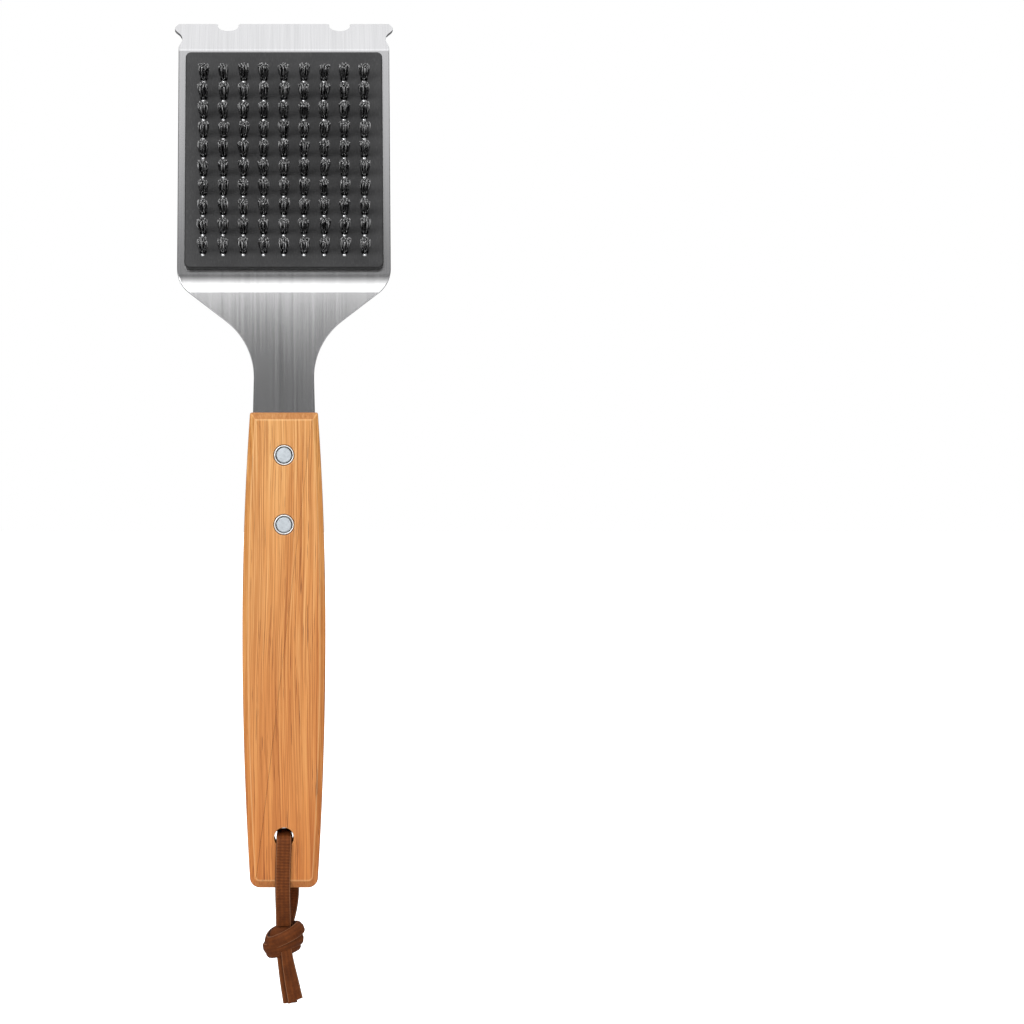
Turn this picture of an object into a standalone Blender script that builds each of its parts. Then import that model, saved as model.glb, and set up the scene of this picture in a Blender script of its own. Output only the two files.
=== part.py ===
"""Grill cleaning brush with a scraper lip, a riveted wooden handle and a knotted hanging lace.

The tool stands upright: +Z runs from the hand to the scraper, the bristles face -Y, and the
origin is where the hand holds it, in the middle of the handle's length, width and thickness.
One stainless sheet makes the tang, neck, head and scraper lip. The brush block is riveted to
the head, and its tufts are drawn in rows on root strips that lie in grooves in its back.
"""

import math

import bmesh
import bpy
from mathutils import Matrix, Vector

MM = 0.001
FIT = 0.3 * MM

# Handle: a flat plank with bowed sides, widest a little above the middle of its length.
HANDLE_HALF_LENGTH = 111.2 * MM
HANDLE_THICKNESS = 18.0 * MM
HANDLE_WIDTH_SWELL = 39.0 * MM
HANDLE_WIDTH_TOP = 31.8 * MM
HANDLE_WIDTH_BOTTOM = 31.4 * MM
HANDLE_SWELL_Z = 8.0 * MM
HANDLE_TOP_CORNER = 1.0 * MM
HANDLE_BOTTOM_CORNER = 4.8 * MM
HANDLE_CHAMFER_SIDE = 2.6 * MM
HANDLE_CHAMFER_END = 3.6 * MM
HANDLE_CHAMFER_DEPTH = 2.2 * MM
HANGING_HOLE_Z = -87.5 * MM
HANGING_HOLE_DIAMETER = 9.0 * MM
HANGING_HOLE_CHAMFER = 0.4 * MM

# Two tubular rivets with solid pins hold the tang in the handle's saw slot.
HANDLE_RIVET_Z = {"upper": 91.2 * MM, "lower": 58.7 * MM}
SLEEVE_DIAMETER = 9.4 * MM
SLEEVE_BORE = 7.9 * MM
PIN_DIAMETER = 7.3 * MM
SLEEVE_RECESS = 0.1 * MM
PIN_RECESS = 0.25 * MM

# Sheet: one blank with two bends. Lengths along it are measured from the start of the neck bend.
SHEET = 1.5 * MM
NECK_BEND_Z = 167.6 * MM
NECK_BEND_RADIUS = 24.0 * MM
HEAD_TIP_BACK = math.radians(12.5)
HEAD_LENGTH = 117.9 * MM
HEAD_WIDTH = 100.5 * MM
LIP_BEND_RADIUS = 3.0 * MM
LIP_BEND = math.radians(37.5)
LIP_LENGTH = 22.8 * MM
TANG_END_Z = 45.0 * MM
TANG_END_WIDTH = 22.0 * MM
TANG_END_CORNER = 4.0 * MM
TANG_SHOULDER_WIDTH = 29.1 * MM
NECK_WIDTH = 28.3 * MM
NECK_WAIST_Z = 127.6 * MM
NECK_FILLET = 33.4 * MM
SHOULDER_SLOPE = math.radians(37.5)
SHOULDER_CORNER = 15.0 * MM

# Scraper lip: ears at both ends, a shallow side notch under each, and two grooves for round rods.
EAR_WIDTH = 105.0 * MM
EAR_FROM_BEND = 17.2 * MM
LIP_END_WIDTH = 102.0 * MM
EAR_FOOT_WIDTH = 99.8 * MM
EAR_FOOT_FROM_BEND = 12.6 * MM
SIDE_NOTCH_DEPTH = 1.2 * MM
SIDE_NOTCH_FROM_BEND = 2.2 * MM
ROD_GROOVE_X = 26.8 * MM
ROD_GROOVE_RADIUS = 5.0 * MM
ROD_GROOVE_DEPTH = 7.2 * MM
GROUND_EDGE_LENGTH = 3.0 * MM
GROUND_EDGE_DROP = 0.6 * MM

# Brush block, in the head's own frame: x across, u up the head, n out of its bristle side.
BLOCK_WIDTH = 93.5 * MM
BLOCK_U = (8.25 * MM, 115.0 * MM)
BLOCK_BACK = SHEET / 2 + FIT
BLOCK_THICKNESS = 4.0 * MM
BLOCK_CORNER = 2.6 * MM
BLOCK_EDGE = 0.8 * MM

# Tufts: nine across and ten up, on a square pitch.
TUFT_PITCH = 9.5 * MM
TUFTS_ACROSS = 9
TUFT_ROWS = 10
FIRST_ROW_U = 16.05 * MM
TUFT_SIDES = 6
TUFT_ROOT_RADIUS = 1.2 * MM
TUFT_TIP_RADIUS = 2.3 * MM
TUFT_HEIGHT = 15.5 * MM
TUFT_HOLE_RADIUS = 1.75 * MM
STRIP_WIDTH = 0.8 * MM
STRIP_THICKNESS = 0.7 * MM
STRIP_OVERHANG = 1.2 * MM

# Three domed rivets hold the block to the head.
BLOCK_RIVETS = {
    "top": (0.0, 97.8 * MM),
    "left": (-31.3 * MM, 23.3 * MM),
    "right": (31.3 * MM, 23.3 * MM),
}
BLOCK_RIVET_HEAD = 6.4 * MM
BLOCK_RIVET_DOME = 1.5 * MM
BLOCK_RIVET_SHANK = 2.6 * MM
BLOCK_RIVET_REACH = 2.4 * MM

# Lace: a flat strap that runs through the hanging hole and is knotted under the handle.
LACE_WIDTH = 7.0 * MM
LACE_THICKNESS = 2.0 * MM
LACE_SPACING = 4.0 * MM
LOOP_ROUTE = [
    (-0.2, -3.2, -129.1),
    (-0.3, -6.6, -122.6),
    (-0.4, -9.7, -116.4),
    (-0.4, -10.4, -109.0),
    (-0.3, -10.4, -100.0),
    (-0.1, -10.4, -92.0),
    (0.0, -9.3, -88.4),
    (0.0, -6.0, -87.6),
    (0.1, 0.0, -87.5),
    (0.2, 6.0, -87.6),
    (0.4, 9.3, -88.4),
    (0.9, 10.4, -92.0),
    (2.2, 10.4, -100.0),
    (3.4, 10.4, -109.0),
    (3.4, 9.7, -116.4),
    (2.2, 6.6, -122.6),
    (0.8, 3.2, -129.1),
]
KNOT_CENTRE = (-1.1 * MM, 0.0, -137.4 * MM)
KNOT_SIZE = (18.2 * MM, 13.0 * MM, 17.4 * MM)
TAIL_ROUTES = {
    "front": [(0.4, -1.4, -146.4), (1.8, -1.6, -153.0), (4.4, -2.0, -164.9)],
    "rear": [(-1.3, 1.3, -146.4), (0.0, 1.5, -153.0), (2.2, 1.9, -165.9)],
}

ROUND_SIDES = 24
ARC_STEP = math.radians(9)


def clear_scene():
    for thing in list(bpy.data.objects):
        bpy.data.objects.remove(thing)


def material(name, colour, roughness, metallic=0.0):
    made = bpy.data.materials.new(name)
    made.use_nodes = True
    shader = made.node_tree.nodes["Principled BSDF"]
    shader.inputs["Base Color"].default_value = (*colour, 1.0)
    shader.inputs["Roughness"].default_value = roughness
    shader.inputs["Metallic"].default_value = metallic
    return made


def add_object(name, mesh, finish=None, parent=None):
    thing = bpy.data.objects.new(name, mesh)
    bpy.context.scene.collection.objects.link(thing)
    if finish:
        mesh.materials.append(finish)
    thing.parent = parent
    return thing


def mesh_from(bm, name):
    bmesh.ops.recalc_face_normals(bm, faces=bm.faces[:])
    mesh = bpy.data.meshes.new(name)
    bm.to_mesh(mesh)
    bm.free()
    return mesh


def shade_round(mesh, angle=30):
    mesh.shade_smooth()
    mesh.set_sharp_from_angle(angle=math.radians(angle))


def cutter(name, mesh, parent=None):
    thing = add_object(name, mesh, parent=parent)
    thing.hide_render = True
    thing.display_type = "WIRE"
    return thing


def cut(thing, tool, operation="DIFFERENCE"):
    modifier = thing.modifiers.new(tool.name, "BOOLEAN")
    modifier.operation = operation
    modifier.solver = "EXACT"
    modifier.object = tool


def arc(centre, radius, start, end):
    """Points on an arc from one angle to another, both ends included."""
    steps = max(2, math.ceil(abs(end - start) / ARC_STEP))
    angles = [start + (end - start) * i / steps for i in range(steps + 1)]
    return [
        (centre[0] + radius * math.cos(a), centre[1] + radius * math.sin(a))
        for a in angles
    ]


def arc_through(first, last, sagitta, side):
    """Points on the flat arc from first to last that bulges by sagitta to the given side."""
    a, b = Vector(first), Vector(last)
    chord = b - a
    radius = (chord.length**2 / 4 + sagitta**2) / (2 * sagitta)
    across = Vector((chord.y, -chord.x)).normalized() * side
    centre = (a + b) / 2 - across * (radius - sagitta)
    start = math.atan2(a.y - centre.y, a.x - centre.x)
    end = math.atan2(b.y - centre.y, b.x - centre.x)
    turn = (end - start + math.pi) % math.tau - math.pi
    return arc(centre, radius, start, start + turn)


def without_doubles(points):
    kept = []
    for point in points:
        if not kept or math.dist(point, kept[-1]) > 0.02 * MM:
            kept.append(point)
    return kept


def mirrored_outline(half):
    """A closed outline from its right half, which runs from the bottom to the top."""
    right = without_doubles(half)
    left = [(-x, y) for x, y in reversed(right) if x > 0.02 * MM]
    return right + left


def slab(outline, low, high):
    """The outline in the x-y plane, filled and extruded from low to high along z."""
    bm = bmesh.new()
    verts = [bm.verts.new((x, y, low)) for x, y in outline]
    base = bm.faces.new(verts)
    top = bmesh.ops.extrude_face_region(bm, geom=[base])
    moved = [v for v in top["geom"] if isinstance(v, bmesh.types.BMVert)]
    bmesh.ops.translate(bm, verts=moved, vec=(0, 0, high - low))
    return bm


def cylinder_mesh(name, radius, low, high, matrix=None, sides=ROUND_SIDES):
    """A closed cylinder along z from low to high, then placed by the matrix."""
    bm = bmesh.new()
    bmesh.ops.create_cone(
        bm,
        cap_ends=True,
        segments=sides,
        radius1=radius,
        radius2=radius,
        depth=high - low,
    )
    bmesh.ops.translate(bm, verts=bm.verts[:], vec=(0, 0, (high + low) / 2))
    if matrix:
        bm.transform(matrix)
    return mesh_from(bm, name)


def turned_mesh(name, profile):
    """A solid turned about z from (radius, height) points that start and end on the axis."""
    bm = bmesh.new()
    verts = [bm.verts.new((radius, 0, height)) for radius, height in profile]
    edges = [bm.edges.new(pair) for pair in zip(verts, verts[1:])]
    bmesh.ops.spin(
        bm,
        geom=verts + edges,
        cent=(0, 0, 0),
        axis=(0, 0, 1),
        angle=math.tau,
        steps=ROUND_SIDES,
        use_merge=True,
    )
    bmesh.ops.remove_doubles(bm, verts=bm.verts[:], dist=0.01 * MM)
    mesh = mesh_from(bm, name)
    shade_round(mesh)
    return mesh


def along_y(y=0.0, z=0.0):
    """Turns a shape made along z so that it lies along y, at height z."""
    return Matrix.Translation((0, y, z)) @ Matrix.Rotation(math.radians(-90), 4, "X")


# ---- The formed sheet -------------------------------------------------------------------


def sheet_stations():
    """Each stretch of the sheet's side profile: (start along it, length, turn of the stretch)."""
    neck_arc = NECK_BEND_RADIUS * HEAD_TIP_BACK
    lip_arc = LIP_BEND_RADIUS * LIP_BEND
    neck_setback = NECK_BEND_RADIUS * math.tan(HEAD_TIP_BACK / 2)
    lip_setback = LIP_BEND_RADIUS * math.tan(LIP_BEND / 2)
    stretches = [
        (neck_arc, HEAD_TIP_BACK),
        (HEAD_LENGTH - neck_setback - lip_setback, 0.0),
        (lip_arc, LIP_BEND),
        (LIP_LENGTH - lip_setback, 0.0),
    ]
    start, stations = 0.0, []
    for length, turn in stretches:
        stations.append((start, length, turn))
        start += length
    return stations


def on_sheet(x, s, n):
    """The place of a point s along the sheet and n in front of its middle plane."""
    y, z, heading = 0.0, NECK_BEND_Z, 0.0
    if s < 0:
        z += s
    for start, length, turn in sheet_stations():
        run = min(max(s - start, 0.0), length)
        if turn:
            radius = length / turn
            swept = run / radius
            y += radius * (math.cos(heading) - math.cos(heading + swept))
            z += radius * (math.sin(heading + swept) - math.sin(heading))
            heading += swept
        else:
            y += run * math.sin(heading)
            z += run * math.cos(heading)
    return Vector((x, y - n * math.cos(heading), z + n * math.sin(heading)))


def lip_place(from_bend):
    """Length along the sheet of a point on the lip, from its distance to the lip's bend line."""
    start, length, _ = sheet_stations()[-1]
    return start + length - LIP_LENGTH + from_bend


def tang_and_neck_outline():
    """Right half of the blank from the tang's end to the head's side, as (x, s)."""
    end, waist = TANG_END_Z - NECK_BEND_Z, NECK_WAIST_Z - NECK_BEND_Z
    corner = (TANG_END_WIDTH / 2 - TANG_END_CORNER, end + TANG_END_CORNER)
    turn = math.pi / 2 - SHOULDER_SLOPE
    fillet_centre = (NECK_WIDTH / 2 + NECK_FILLET, waist)
    fillet = arc(fillet_centre, NECK_FILLET, math.pi, math.pi - turn)
    corner_x = HEAD_WIDTH / 2 - SHOULDER_CORNER
    run_x = corner_x + SHOULDER_CORNER * math.cos(turn) - fillet[-1][0]
    corner_s = (
        fillet[-1][1]
        + run_x * math.tan(SHOULDER_SLOPE)
        + SHOULDER_CORNER * math.sin(turn)
    )
    return [
        (0.0, end),
        *arc(corner, TANG_END_CORNER, -math.pi / 2, 0.0),
        (TANG_SHOULDER_WIDTH / 2, HANDLE_HALF_LENGTH - NECK_BEND_Z),
        *fillet,
        *arc((corner_x, corner_s), SHOULDER_CORNER, -turn, 0.0),
    ]


def lip_outline():
    """Right half of the lip, from the head's side round the ear to the middle of its end."""
    foot = (EAR_FOOT_WIDTH / 2, lip_place(EAR_FOOT_FROM_BEND))
    shoulder = (HEAD_WIDTH / 2, lip_place(SIDE_NOTCH_FROM_BEND))
    end = lip_place(LIP_LENGTH)
    radius = ROD_GROOVE_RADIUS
    groove_s = end - ROD_GROOVE_DEPTH + radius
    return [
        *arc_through(shoulder, foot, SIDE_NOTCH_DEPTH, -1),
        (EAR_WIDTH / 2, lip_place(EAR_FROM_BEND)),
        (LIP_END_WIDTH / 2, end),
        (ROD_GROOVE_X + radius + 0.6 * MM, end),
        (ROD_GROOVE_X + radius, end - 0.9 * MM),
        *arc((ROD_GROOVE_X, groove_s), radius, 0.0, -math.pi),
        (ROD_GROOVE_X - radius, end - 0.9 * MM),
        (ROD_GROOVE_X - radius - 0.6 * MM, end),
        (0.0, end),
    ]


def bend_lines():
    """Where the flat blank is divided so that it can take its two bends and the ground edge."""
    lines = [lip_place(LIP_LENGTH) - GROUND_EDGE_LENGTH]
    for start, length, turn in sheet_stations():
        steps = math.ceil(turn / math.radians(3))
        lines += [start + length * i / steps for i in range(steps + 1) if steps]
    return sorted(set(lines))


def front_offset(s):
    """How far the sheet's front face stands from its middle plane, less on the ground edge."""
    into_edge = s - (lip_place(LIP_LENGTH) - GROUND_EDGE_LENGTH)
    return SHEET / 2 - GROUND_EDGE_DROP * max(into_edge, 0.0) / GROUND_EDGE_LENGTH


def make_blade(steel, head):
    bm = slab(mirrored_outline(tang_and_neck_outline() + lip_outline()), 0.0, 1.0)
    for s in bend_lines():
        bmesh.ops.bisect_plane(
            bm,
            geom=bm.verts[:] + bm.edges[:] + bm.faces[:],
            dist=1e-7,
            plane_co=(0, s, 0),
            plane_no=(0, 1, 0),
        )
    for vert in bm.verts:
        x, s, layer = vert.co
        vert.co = on_sheet(x, s, front_offset(s) if layer > 0.5 else -SHEET / 2)
    mesh = mesh_from(bm, "blade")
    shade_round(mesh, 20)
    blade = add_object("blade", mesh, steel)
    for name, (x, u) in BLOCK_RIVETS.items():
        hole = cylinder_mesh(
            f"blade_hole_{name}", BLOCK_RIVET_SHANK / 2 + FIT, -SHEET, SHEET, sides=12
        )
        tool = cutter(f"blade_hole_{name}", hole, head)
        tool.location = (x, u, 0)
        cut(blade, tool)
    for name, z in HANDLE_RIVET_Z.items():
        radius = SLEEVE_DIAMETER / 2 + FIT
        hole = cylinder_mesh(f"tang_hole_{name}", radius, -SHEET, SHEET, along_y(z=z))
        cut(blade, cutter(f"tang_hole_{name}", hole))


# ---- The brush --------------------------------------------------------------------------


def row_places():
    return [FIRST_ROW_U + TUFT_PITCH * row for row in range(TUFT_ROWS)]


def tuft_places():
    middle = (TUFTS_ACROSS - 1) / 2
    return [TUFT_PITCH * (column - middle) for column in range(TUFTS_ACROSS)]


def posts(name, places, radius_low, radius_high, low, high):
    """One mesh of separate tapered posts that stand along n at the given (x, u) places."""
    bm = bmesh.new()
    for x, u in places:
        made = bmesh.ops.create_cone(
            bm,
            cap_ends=True,
            segments=TUFT_SIDES,
            radius1=radius_low,
            radius2=radius_high,
            depth=high - low,
        )
        bmesh.ops.translate(bm, verts=made["verts"], vec=(x, u, (high + low) / 2))
    return mesh_from(bm, name)


def bars(name, places, half_length, half_width, low, high):
    """One mesh of separate bars that run across the head at the given places up it."""
    bm = bmesh.new()
    size = (2 * half_length, 2 * half_width, high - low)
    for u in places:
        made = bmesh.ops.create_cube(bm, size=1.0)
        bmesh.ops.scale(bm, verts=made["verts"], vec=size)
        bmesh.ops.translate(bm, verts=made["verts"], vec=(0, u, (high + low) / 2))
    return mesh_from(bm, name)


def strip_half_length():
    return TUFT_PITCH * (TUFTS_ACROSS - 1) / 2 + STRIP_OVERHANG


def make_block(plastic, head):
    """The moulded block: a rounded plate with a hole for each tuft and a groove for each row."""
    low, high = BLOCK_U
    side, corner = BLOCK_WIDTH / 2, BLOCK_CORNER
    half = [
        (0.0, low),
        *arc((side - corner, low + corner), corner, -math.pi / 2, 0.0),
        *arc((side - corner, high - corner), corner, 0.0, math.pi / 2),
        (0.0, high),
    ]
    front = BLOCK_BACK + BLOCK_THICKNESS
    bm = slab(mirrored_outline(half), BLOCK_BACK, front)
    rim = [e for e in bm.edges if all(v.co.z > front - 1e-6 for v in e.verts)]
    bmesh.ops.bevel(
        bm,
        geom=rim,
        offset=BLOCK_EDGE,
        affect="EDGES",
        segments=2,
        profile=0.5,
        material=-1,
    )
    mesh = mesh_from(bm, "brush_block")
    shade_round(mesh)
    block = add_object("brush_block", mesh, plastic, head)
    groove_top = BLOCK_BACK + FIT + STRIP_THICKNESS + FIT
    grooves = bars(
        "row_grooves",
        row_places(),
        strip_half_length() + FIT,
        STRIP_WIDTH / 2 + FIT,
        BLOCK_BACK - FIT,
        groove_top,
    )
    cut(block, cutter("row_grooves", grooves, head))
    places = [(x, u) for u in row_places() for x in tuft_places()]
    radius = TUFT_HOLE_RADIUS
    holes = posts("tuft_holes", places, radius, radius, BLOCK_BACK - FIT, front + FIT)
    cut(block, cutter("tuft_holes", holes, head))
    reach = BLOCK_BACK + BLOCK_RIVET_REACH + FIT
    for name, (x, u) in BLOCK_RIVETS.items():
        hole = cylinder_mesh(
            f"block_hole_{name}", BLOCK_RIVET_SHANK / 2 + FIT, 0.0, reach, sides=12
        )
        tool = cutter(f"block_hole_{name}", hole, head)
        tool.location = (x, u, 0)
        cut(block, tool)


def make_bristle_rows(nylon, head):
    """Ten rows, each of nine tufts on one root strip. A tuft is a cone that widens to its tip."""
    strip_low = BLOCK_BACK + FIT
    strip_high = strip_low + STRIP_THICKNESS
    surface = BLOCK_BACK + BLOCK_THICKNESS
    strip = bars(
        "row_strip", [0.0], strip_half_length(), STRIP_WIDTH / 2, strip_low, strip_high
    )
    places = [(x, 0.0) for x in tuft_places()]
    root_low = strip_low + STRIP_THICKNESS / 2
    roots = posts(
        "tuft_roots", places, TUFT_ROOT_RADIUS, TUFT_ROOT_RADIUS, root_low, surface
    )
    tips = posts(
        "tuft_tips",
        places,
        TUFT_ROOT_RADIUS * 0.98,
        TUFT_TIP_RADIUS,
        surface - STRIP_THICKNESS,
        surface + TUFT_HEIGHT,
    )
    pattern = cutter("row_pattern", strip)
    cut(pattern, cutter("tuft_roots", roots), "UNION")
    cut(pattern, cutter("tuft_tips", tips), "UNION")
    bpy.context.view_layer.update()
    graph = bpy.context.evaluated_depsgraph_get()
    row_mesh = bpy.data.meshes.new_from_object(pattern.evaluated_get(graph))
    row_mesh.name = "bristle_row"
    row_mesh.materials.clear()
    row_mesh.materials.append(nylon)
    for number, u in enumerate(row_places(), start=1):
        row = add_object(f"bristle_row_{number:02d}", row_mesh, parent=head)
        row.location = (0, u, 0)


def make_block_rivets(steel, head):
    """Domed heads on the back of the head, with shanks that reach into the block."""
    seat = -SHEET / 2 - FIT
    rim, dome = BLOCK_RIVET_HEAD / 2, BLOCK_RIVET_DOME
    crown = [(rim * math.cos(a), seat - dome * math.sin(a)) for a in
             [math.radians(15 * step) for step in range(6)]]
    profile = [
        (0.0, BLOCK_BACK + BLOCK_RIVET_REACH),
        (BLOCK_RIVET_SHANK / 2, BLOCK_BACK + BLOCK_RIVET_REACH),
        (BLOCK_RIVET_SHANK / 2, seat),
        *crown,
        (0.0, seat - dome),
    ]
    mesh = turned_mesh("block_rivet", profile)
    mesh.materials.append(steel)
    for name, (x, u) in BLOCK_RIVETS.items():
        rivet = add_object(f"block_rivet_{name}", mesh, parent=head)
        rivet.location = (x, u, 0)


# ---- The handle -------------------------------------------------------------------------


def handle_half_width(z):
    """Half the handle's width: a shallow parabola each way from the swell."""
    end_z = HANDLE_HALF_LENGTH if z > HANDLE_SWELL_Z else -HANDLE_HALF_LENGTH
    end_width = HANDLE_WIDTH_TOP if z > HANDLE_SWELL_Z else HANDLE_WIDTH_BOTTOM
    share = (z - HANDLE_SWELL_Z) / (end_z - HANDLE_SWELL_Z)
    return (HANDLE_WIDTH_SWELL - (HANDLE_WIDTH_SWELL - end_width) * share**2) / 2


def handle_outline(side_inset, end_inset):
    """The handle seen from the front, drawn in from its sides and ends by the two insets."""
    bottom, top = -HANDLE_HALF_LENGTH + end_inset, HANDLE_HALF_LENGTH - end_inset
    low_corner = HANDLE_BOTTOM_CORNER - side_inset
    high_corner = HANDLE_TOP_CORNER * low_corner / HANDLE_BOTTOM_CORNER
    low, high = bottom + low_corner, top - high_corner
    low_x = handle_half_width(low) - side_inset - low_corner
    high_x = handle_half_width(high) - side_inset - high_corner
    side = [low + (high - low) * i / 20 for i in range(1, 20)]
    return [
        (0.0, bottom),
        *arc((low_x, low), low_corner, -math.pi / 2, 0.0),
        *[(handle_half_width(z) - side_inset, z) for z in side],
        *arc((high_x, high), high_corner, 0.0, math.pi / 2),
        (0.0, top),
    ]


def make_handle(wood):
    half = HANDLE_THICKNESS / 2
    edge = half - HANDLE_CHAMFER_DEPTH
    full = mirrored_outline(handle_outline(0.0, 0.0))
    face = mirrored_outline(handle_outline(HANDLE_CHAMFER_SIDE, HANDLE_CHAMFER_END))
    levels = [(face, half), (full, edge), (full, -edge), (face, -half)]
    bm = bmesh.new()
    loops = [[bm.verts.new((x, y, z)) for x, z in outline] for outline, y in levels]
    for low, high in zip(loops, loops[1:]):
        for i, vert in enumerate(low):
            bm.faces.new((vert, low[i - 1], high[i - 1], high[i]))
    bm.faces.new(loops[0])
    bm.faces.new(loops[-1])
    mesh = mesh_from(bm, "handle")
    shade_round(mesh, 20)
    handle = add_object("handle", mesh, wood)

    slot_bm = bmesh.new()
    bmesh.ops.create_cube(slot_bm, size=1.0)
    slot_low = TANG_END_Z - FIT
    slot_high = HANDLE_HALF_LENGTH + FIT
    size = (HANDLE_WIDTH_SWELL * 1.1, SHEET + 2 * FIT, slot_high - slot_low)
    bmesh.ops.scale(slot_bm, verts=slot_bm.verts[:], vec=size)
    middle = (0, 0, (slot_low + slot_high) / 2)
    bmesh.ops.translate(slot_bm, verts=slot_bm.verts[:], vec=middle)
    cut(handle, cutter("tang_slot", mesh_from(slot_bm, "tang_slot")))

    reach = half + FIT
    for name, z in HANDLE_RIVET_Z.items():
        radius = SLEEVE_DIAMETER / 2 + FIT
        hole = cylinder_mesh(f"handle_hole_{name}", radius, -reach, reach, along_y(z=z))
        cut(handle, cutter(f"handle_hole_{name}", hole))
    radius, lead = HANGING_HOLE_DIAMETER / 2, HANGING_HOLE_CHAMFER
    profile = [
        (0.0, -reach),
        (radius + lead + FIT, -reach),
        (radius, -half + lead),
        (radius, half - lead),
        (radius + lead + FIT, reach),
        (0.0, reach),
    ]
    hanging = turned_mesh("hanging_hole", profile)
    hanging.transform(along_y(z=HANGING_HOLE_Z))
    cut(handle, cutter("hanging_hole", hanging))


def make_handle_rivets(steel):
    """A thin sleeve through handle and tang, and the solid pin that fills it."""
    half = HANDLE_THICKNESS / 2
    outer, bore = SLEEVE_DIAMETER / 2, SLEEVE_BORE / 2
    for name, z in HANDLE_RIVET_Z.items():
        reach = half - SLEEVE_RECESS
        sleeve_mesh = cylinder_mesh(f"sleeve_{name}", outer, -reach, reach)
        shade_round(sleeve_mesh)
        sleeve = add_object(f"handle_rivet_sleeve_{name}", sleeve_mesh, steel)
        bore_mesh = cylinder_mesh(f"sleeve_bore_{name}", bore, -half, half)
        bore_tool = cutter(f"sleeve_bore_{name}", bore_mesh)
        cut(sleeve, bore_tool)
        reach = half - PIN_RECESS
        pin_mesh = cylinder_mesh(f"pin_{name}", PIN_DIAMETER / 2, -reach, reach)
        shade_round(pin_mesh)
        pin = add_object(f"handle_rivet_pin_{name}", pin_mesh, steel)
        for thing in (sleeve, bore_tool, pin):
            thing.location = (0, 0, z)
            thing.rotation_euler = (math.radians(-90), 0, 0)


# ---- The lace ---------------------------------------------------------------------------


def smooth_route(route):
    """Points at an even spacing on the smooth curve through the route's own points."""
    points = [Vector(p) * MM for p in route]
    ends = [2 * points[0] - points[1], *points, 2 * points[-1] - points[-2]]
    dense = []
    for a, b, c, d in zip(ends, ends[1:], ends[2:], ends[3:]):
        for step in range(16):
            t = step / 16
            dense.append(
                0.5 * (2 * b + (c - a) * t + (2 * a - 5 * b + 4 * c - d) * t**2
                       + (3 * b - a - 3 * c + d) * t**3)
            )
    dense.append(points[-1])
    return dense


def evenly(points, spacing):
    lengths = [0.0]
    for a, b in zip(points, points[1:]):
        lengths.append(lengths[-1] + (b - a).length)
    count = max(3, round(lengths[-1] / spacing))
    spaced, index = [], 0
    for step in range(count + 1):
        target = lengths[-1] * step / count
        while index < len(lengths) - 2 and lengths[index + 1] < target:
            index += 1
        share = (target - lengths[index]) / (lengths[index + 1] - lengths[index])
        spaced.append(points[index].lerp(points[index + 1], share))
    return spaced


def strap_section():
    """The strap's cross-section: a flat bar with round edges, as (across, through) points."""
    radius, reach = LACE_THICKNESS / 2, (LACE_WIDTH - LACE_THICKNESS) / 2
    angles = [math.radians(a) for a in (-90, -45, 0, 45, 90)]
    right = [(reach + radius * math.cos(a), radius * math.sin(a)) for a in angles]
    return right + [(-x, y) for x, y in reversed(right)]


def strap(name, route, leather, swing, spacing):
    """A flat strap along a route, its width held across x as far as its bends allow."""
    points = evenly(smooth_route(route), spacing)
    ahead = points[1:] + points[-1:]
    behind = points[:1] + points[:-1]
    bm = bmesh.new()
    rings = []
    for point, before, after in zip(points, behind, ahead):
        along = (after - before).normalized()
        across = Vector((1, 0, 0)) - along * along.x
        across.normalize()
        through = along.cross(across)
        centre = point - swing.location
        ring = [bm.verts.new(centre + across * a + through * b) for a, b in strap_section()]
        rings.append(ring)
    for low, high in zip(rings, rings[1:]):
        for i, vert in enumerate(low):
            bm.faces.new((vert, low[i - 1], high[i - 1], high[i]))
    bm.faces.new(rings[0])
    bm.faces.new(rings[-1])
    mesh = mesh_from(bm, name)
    shade_round(mesh, 50)
    return add_object(name, mesh, leather, swing)


def make_knot(leather, swing):
    """The overhand knot's outer shape: a rounded lump, lower on its left."""
    bm = bmesh.new()
    bmesh.ops.create_uvsphere(bm, u_segments=16, v_segments=10, radius=0.5)
    bmesh.ops.scale(bm, verts=bm.verts[:], vec=KNOT_SIZE)
    bmesh.ops.rotate(bm, verts=bm.verts[:], matrix=Matrix.Rotation(0.35, 3, "Y"))
    bmesh.ops.translate(bm, verts=bm.verts[:], vec=Vector(KNOT_CENTRE) - swing.location)
    mesh = mesh_from(bm, "lanyard_knot")
    shade_round(mesh, 60)
    add_object("lanyard_knot", mesh, leather, swing)


def make_lanyard(leather):
    """Loop, knot and tails hang from the hole and swing about its axis."""
    swing = bpy.data.objects.new("lanyard_swing", None)
    bpy.context.scene.collection.objects.link(swing)
    swing.location = (0, 0, HANGING_HOLE_Z)
    strap("lanyard_loop", LOOP_ROUTE, leather, swing, LACE_SPACING / 2)
    make_knot(leather, swing)
    for name, route in TAIL_ROUTES.items():
        strap(f"lanyard_tail_{name}", route, leather, swing, LACE_SPACING)


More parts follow.
